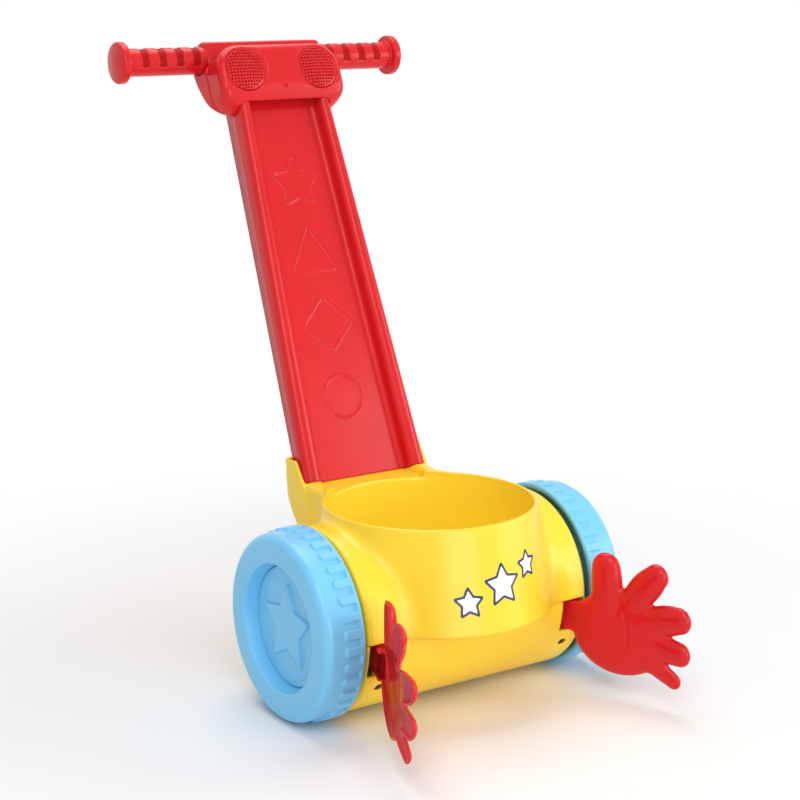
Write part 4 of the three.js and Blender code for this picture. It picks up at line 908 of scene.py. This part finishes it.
def head_front(x, run, rise):
    """Front half: a pillow-edged plate, broadly bevelled at its foot, with seats for the grilles."""
    outline = outline_distance(x, run, head_outline())
    slab = rounded(outline, rise - HEAD_FRONT, HEAD_ROUND)
    bevel = (HEAD_LOW + HEAD_BEVEL - run) * math.sin(BEVEL_LEAN) + (rise - HEAD_FRONT) * math.cos(BEVEL_LEAN)
    slab = smooth_max(slab, bevel, BEVEL_ROUND)
    hollow = np.maximum(slab + HEAD_WALL, rise - HEAD_FRONT + FACE_WALL)
    away = np.hypot(np.abs(x) - GRILLE_X, run - GRILLE_AT)
    ring = np.hypot(away - GRILLE_RING, rise - HEAD_FRONT - RING_LIFT)
    slab = smooth_max(slab, RING_GROOVE - ring, FINE_EDGE)
    seat = np.maximum(away - GRILLE_RADIUS - GRILLE_PLAY, HEAD_FRONT - GRILLE_SEAT - rise)
    slab = smooth_max(slab, -seat, FINE_EDGE)
    mark = outline_distance(x, run, np.array(MARK))
    slab = smooth_min(slab, rounded(mark, rise - HEAD_FRONT - MARK_HEIGHT, MARK_HEIGHT / 2), EDGE)
    slab = np.maximum(slab, -hollow)
    slab = np.maximum(slab, -chute_room(x, run, rise))
    return smooth_max(slab, -HEAD_SPLIT - rise, SOFT_EDGE)


def head_back(x, run, rise):
    """Back half: side walls under a collar for the bar, rounded off towards the chute."""
    shoulder = [(HEAD_HALF, HEAD_SHOULDER), (COLLAR_HALF, HEAD_SHOULDER), (COLLAR_HALF, BAR_AT + OVER_BAR)]
    plan = outline_distance(x, run, both_sides(np.concatenate([head_low_corner(), shoulder])))
    side = np.array([
        (-HEAD_SPLIT - GAP, BAR_AT), *arc((-BAR_BACK, BAR_AT), COLLAR_RADIUS, np.pi / 6, np.pi, 14),
        *curve((-BAR_BACK - COLLAR_RADIUS, BAR_AT), (-BAR_BACK - COLLAR_RADIUS, HEAD_LOW + BAR_BACK),
               (-HEAD_SPLIT - GAP, HEAD_LOW), 10)[1:],
    ])
    side = outline_distance(rise, run, side)
    whole = np.maximum(rounded(plan, side, HEAD_BACK_ROUND), rise + HEAD_SPLIT + GAP)
    bar = np.hypot(run - BAR_AT, rise + BAR_BACK)
    grip_room = np.maximum(bar - GRIP_RADIUS - GRIP_ROOM, COLLAR_HALF - np.abs(x))
    whole = smooth_max(whole, -grip_room, EDGE)
    for at, height in HEAD_SCREWS:
        bore = np.hypot(np.abs(x) - at, run - height) - COUNTERBORE
        whole = smooth_max(whole, -np.maximum(bore, rise + HEAD_SCREW_SEAT), SOFT_EDGE)
    return np.maximum(whole, -chute_room(x, run, rise))


def grille_mesh():
    """A domed disc pierced by a square pattern of small pits, and which of its faces lie in the pits."""
    line = np.linspace(-GRILLE_RADIUS, GRILLE_RADIUS, GRILLE_POINTS)
    x, y = np.meshgrid(line, line, indexing="ij")
    away = np.hypot(x, y)
    half = PIT_PITCH / 2
    pit = np.hypot((x + half) % PIT_PITCH - half, (y + half) % PIT_PITCH - half)
    pierced = (1 - step_up(PIT_RADIUS - PIT_SIDE[0], PIT_RADIUS + PIT_SIDE[1], pit)) * (away < PIT_REACH)
    dome = GRILLE_DOME * (1 - (away / PIT_REACH) ** 2)
    slope = GRILLE_LIP * step_up(PIT_REACH, GRILLE_RADIUS, away)
    rise = HEAD_FRONT - GRILLE_SINK + np.maximum(dome, 0) + slope - PIT_DEPTH * pierced
    points = np.stack([x, GRILLE_AT + y, rise], axis=-1).reshape(-1, 3)
    back = points * [1, 1, 0] + [0, 0, HEAD_FRONT - GRILLE_SEAT + GAP / 3]
    faces = grid_faces(GRILLE_POINTS, GRILLE_POINTS)[:, ::-1]
    faces = faces[(away.ravel()[faces] <= GRILLE_RADIUS).all(axis=1)]
    in_pits = pierced.ravel()[faces].mean(axis=1) > PIT_SHARE
    points, faces = solid_sheet(points, faces, back)
    return points, faces, np.concatenate([in_pits, np.zeros(len(faces) - len(in_pits), bool)])


def make_head():
    points, faces = net(head_front, *NETS["head_front"])
    mesh_piece("head_face", from_chute(points), faces, red, "body", "red_plastic", ["head_front"])
    points, faces = net(head_back, *NETS["head_back"])
    mesh_piece("head_shell", from_chute(points), faces, red, "body", "red_plastic", ["head_back"])
    points, faces, pits = grille_mesh()
    for side, sign in (("right", 1), ("left", -1)):
        placed = from_chute(points + np.array([sign * GRILLE_X, 0, 0]))
        piece = mesh_piece(f"pierced_grille_{side}", placed, faces, red, "body", "red_plastic",
                           [f"grille_{side}"])
        # the pits get the darker red: painted shade
        add_tone(piece, painted_shade_pit_red, pits)


def groove_mask(across, turn, radius):
    """One in the grooves over the top of the grip, nought on its smooth underside."""
    beside = np.minimum.reduce([np.abs(across - g) for g in GROOVES])
    open_top = step_up(*GROOVE_LOW, radius * np.cos(turn))
    groove = 1 - step_up(-GROOVE_SIDE, GROOVE_SIDE, beside - GROOVE_WIDTH / 2)
    return groove * open_top * (radius > GRIP_RADIUS - GRIP_CHAMFER)


def grip_profile():
    """From the bore at the head, along the grip and over its flange to a blind bore."""
    inner = COLLAR_HALF + GAP
    flange = GRIP_END - FLANGE_WIDTH
    near, far = FLANGE_ROUND
    body = [(a, GRIP_RADIUS) for a in np.arange(inner + GRIP_CHAMFER, flange - FLANGE_FILLET, GRIP_STEP)]
    crown = [(GRIP_END + beyond, radius) for beyond, radius in FLANGE_CROWN]
    fillet = arc((flange - FLANGE_FILLET, GRIP_RADIUS + FLANGE_FILLET), FLANGE_FILLET, -np.pi / 2, 0, 4)
    return [
        (inner, GRIP_BORE), (inner, GRIP_RADIUS - GRIP_CHAMFER), *body, *fillet,
        *arc((flange + near, FLANGE_RADIUS - near), near, np.pi, np.pi / 2, 6),
        *arc((GRIP_END - far, FLANGE_RADIUS - far), far, np.pi / 2, 0.2, 6),
        *crown, (flange + GAP, crown[-1][1]), (flange + GAP, GRIP_BORE),
    ]


def make_grips():
    def sink(across, turn, radius):
        return -GROOVE_DEPTH * groove_mask(across, turn, radius)

    points, faces = turned(grip_profile(), GRIP_SEGMENTS, sink)
    across, run, rise = points.T
    turn = np.arctan2(rise, run)
    away = np.hypot(run, rise)
    sunk = (away > GRIP_BORE + 1) & (away < GRIP_RADIUS - GROOVE_DEPTH / 2)
    groove_shade_mask = groove_mask(across, turn, np.full(len(points), GRIP_RADIUS)) * sunk
    for side, sign in (("right", 1), ("left", -1)):
        placed = np.stack([sign * across, run + BAR_AT, rise - BAR_BACK], axis=1)
        shown = faces if sign > 0 else faces[:, ::-1]
        piece = mesh_piece(f"grooved_grip_{side}", from_chute(placed), shown, red, "body", "red_plastic",
                           [f"grip_{side}"])
        # the groove floors get the darker red: painted shade
        add_tone(piece, painted_shade_red, groove_shade_mask[shown].min(axis=1) > 0.5)


# Print on the tub: three stars

PRINT_STARS = [(-31, 111, 12), (2.2, 122, 17), (33, 133, 11)]      # round the front, height, radius
PRINT_LINE = 2
PRINT_MARGIN = 1.5            # the navy outline reaches that far outside a star
PRINT_OVERLAP = 0.3           # of white under navy
PRINT_STEP = 0.4
PRINT_KEEP = 0.75             # share of a step by which a kept face may pass the outline
PRINT_HALF = 48
PRINT_LOW, PRINT_HIGH = 95, 150
NAVY_PROUD = 0.16
WHITE_PROUD = 0.1
PRINT_ROOT = 0.1              # how far the ink goes into the wall


def on_tub(u, z, proud):
    """A point of the tub's front, from its distance round the front and its height."""
    radius, middle = tub_ring(z)
    turn = u / radius
    return np.stack([(radius + proud) * np.sin(turn), middle - (radius + proud) * np.cos(turn), z], axis=-1)


def print_fields(u, z):
    """Distances to the navy outlines and to the white stars inside them, in the plane of the print."""
    stars = []
    for at, height, radius in PRINT_STARS:
        stars.append(outline_distance(u - at, z - height, star(radius, STAR_WAIST)))
    shape = np.minimum.reduce(stars) - PRINT_MARGIN
    return np.abs(shape + PRINT_LINE / 2) - PRINT_LINE / 2, shape + PRINT_LINE - PRINT_OVERLAP


def make_print():
    step = PRINT_STEP
    us = np.arange(-PRINT_HALF, PRINT_HALF + step / 4, step)
    zs = np.arange(PRINT_LOW, PRINT_HIGH, step)
    u, z = np.meshgrid(us, zs, indexing="ij")
    faces = grid_faces(len(us), len(zs))[:, ::-1]
    outline, fill = print_fields(u, z)
    layers = [("print_navy", outline, NAVY_PROUD, navy), ("print_white", fill, WHITE_PROUD, white)]
    for name, field, proud, ink in layers:
        slope_u, slope_z = np.gradient(field, step)
        near = np.abs(field) < step
        pull_u = np.where(near, u - field * slope_u, u)
        pull_z = np.where(near, z - field * slope_z, z)
        front, back = (on_tub(pull_u, pull_z, level).reshape(-1, 3) for level in (proud, -PRINT_ROOT))
        keep = (field.ravel()[faces] < step * PRINT_KEEP).all(axis=1)
        mesh_piece(name, *solid_sheet(front, faces[keep], back), ink, "body", None)


# Stage

def shown_rays(nodes, links):
    """One for the rays that show the background itself: from the camera, in gloss or through glass."""
    path = nodes.new("ShaderNodeLightPath")
    shown = path.outputs["Is Camera Ray"]
    for ray in ("Is Glossy Ray", "Is Transmission Ray"):
        either = nodes.new("ShaderNodeMath")
        either.operation = "MAXIMUM"
        links.new(shown, either.inputs[0])
        links.new(path.outputs[ray], either.inputs[1])
        shown = either.outputs["Value"]
    return shown


def floor_material():
    """Pale matt floor that keeps the walker's shadow and fades to plain white away from it."""
    material = bpy.data.materials.new("pale_floor")
    material.use_nodes = True
    nodes, links = material.node_tree.nodes, material.node_tree.links
    matt = nodes["Principled BSDF"]
    matt.inputs["Base Color"].default_value = FLOOR_COLOUR
    matt.inputs["Roughness"].default_value = 1
    matt.inputs["Specular IOR Level"].default_value = 0
    bare = nodes.new("ShaderNodeEmission")
    place = nodes.new("ShaderNodeNewGeometry")
    reach = nodes.new("ShaderNodeVectorMath")
    reach.operation = "LENGTH"
    fade = nodes.new("ShaderNodeMapRange")
    fade.interpolation_type = "SMOOTHSTEP"
    fade.inputs["From Min"].default_value = FLOOR_FADE[0]
    fade.inputs["From Max"].default_value = FLOOR_FADE[1]
    share = nodes.new("ShaderNodeMath")
    share.operation = "MULTIPLY"
    mix = nodes.new("ShaderNodeMixShader")
    links.new(place.outputs["Position"], reach.inputs[0])
    links.new(reach.outputs["Value"], fade.inputs["Value"])
    links.new(fade.outputs["Result"], share.inputs[0])
    links.new(shown_rays(nodes, links), share.inputs[1])
    links.new(share.outputs["Value"], mix.inputs["Fac"])
    links.new(matt.outputs["BSDF"], mix.inputs[1])
    links.new(bare.outputs["Emission"], mix.inputs[2])
    links.new(mix.outputs["Shader"], nodes["Material Output"].inputs["Surface"])
    return material


def make_world():
    """An even white surround that is plain white where it is seen."""
    world = bpy.data.worlds.new("studio")
    bpy.context.scene.world = world
    world.use_nodes = True
    nodes, links = world.node_tree.nodes, world.node_tree.links
    nodes["Background"].inputs["Color"].default_value = (1, 1, 1, 1)
    nodes["Background"].inputs["Strength"].default_value = WORLD_LIGHT
    seen = nodes.new("ShaderNodeBackground")
    seen.inputs["Color"].default_value = (1, 1, 1, 1)
    mix = nodes.new("ShaderNodeMixShader")
    links.new(shown_rays(nodes, links), mix.inputs["Fac"])
    links.new(nodes["Background"].outputs["Background"], mix.inputs[1])
    links.new(seen.outputs["Background"], mix.inputs[2])
    links.new(mix.outputs["Shader"], nodes["World Output"].inputs["Surface"])


def make_stage():
    """Floor, surround and soft lamps."""
    bpy.ops.mesh.primitive_plane_add(size=FLOOR_SIZE)
    floor = bpy.context.object
    floor.name = "floor"
    floor.data.materials.append(floor_material())
    make_world()
    for name, place, size, power in LAMPS:
        lamp = bpy.data.lights.new(name, "AREA")
        lamp.size = size
        lamp.energy = power
        holder = bpy.data.objects.new(name, lamp)
        holder.location = place
        holder.rotation_euler = (LAMP_TARGET - Vector(place)).to_track_quat("-Z", "Y").to_euler()
        bpy.context.scene.collection.objects.link(holder)


def make_camera():
    """The photograph's view, fitted to the walker's wheels, chute and handlebar."""
    camera = bpy.data.cameras.new("camera")
    camera.lens = CAMERA_LENS
    camera.sensor_width = CAMERA_SENSOR
    holder = bpy.data.objects.new("camera", camera)
    holder.location = CAMERA_PLACE
    holder.rotation_euler = (CAMERA_TARGET - CAMERA_PLACE).to_track_quat("-Z", "Y").to_euler()
    bpy.context.scene.collection.objects.link(holder)
    bpy.context.scene.camera = holder


def finish_cad_nodes():
    """Screws, pins, nuts, axle and bar keep their CAD shape and get the plated finish."""
    for name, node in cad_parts.items():
        if not node.hide_render:
            node.data.materials.clear()
            # pins get the black steel, which also stands as painted shade in the holes
            node.data.materials.append(black_steel_hole_shade if "pin" in name else steel)


make_camera()
make_stage()
make_shells()
make_wheels()
make_hands()
make_chute()
make_head()
make_grips()
make_print()
finish_cad_nodes()
bpy.context.scene.view_settings.view_transform = "Standard"
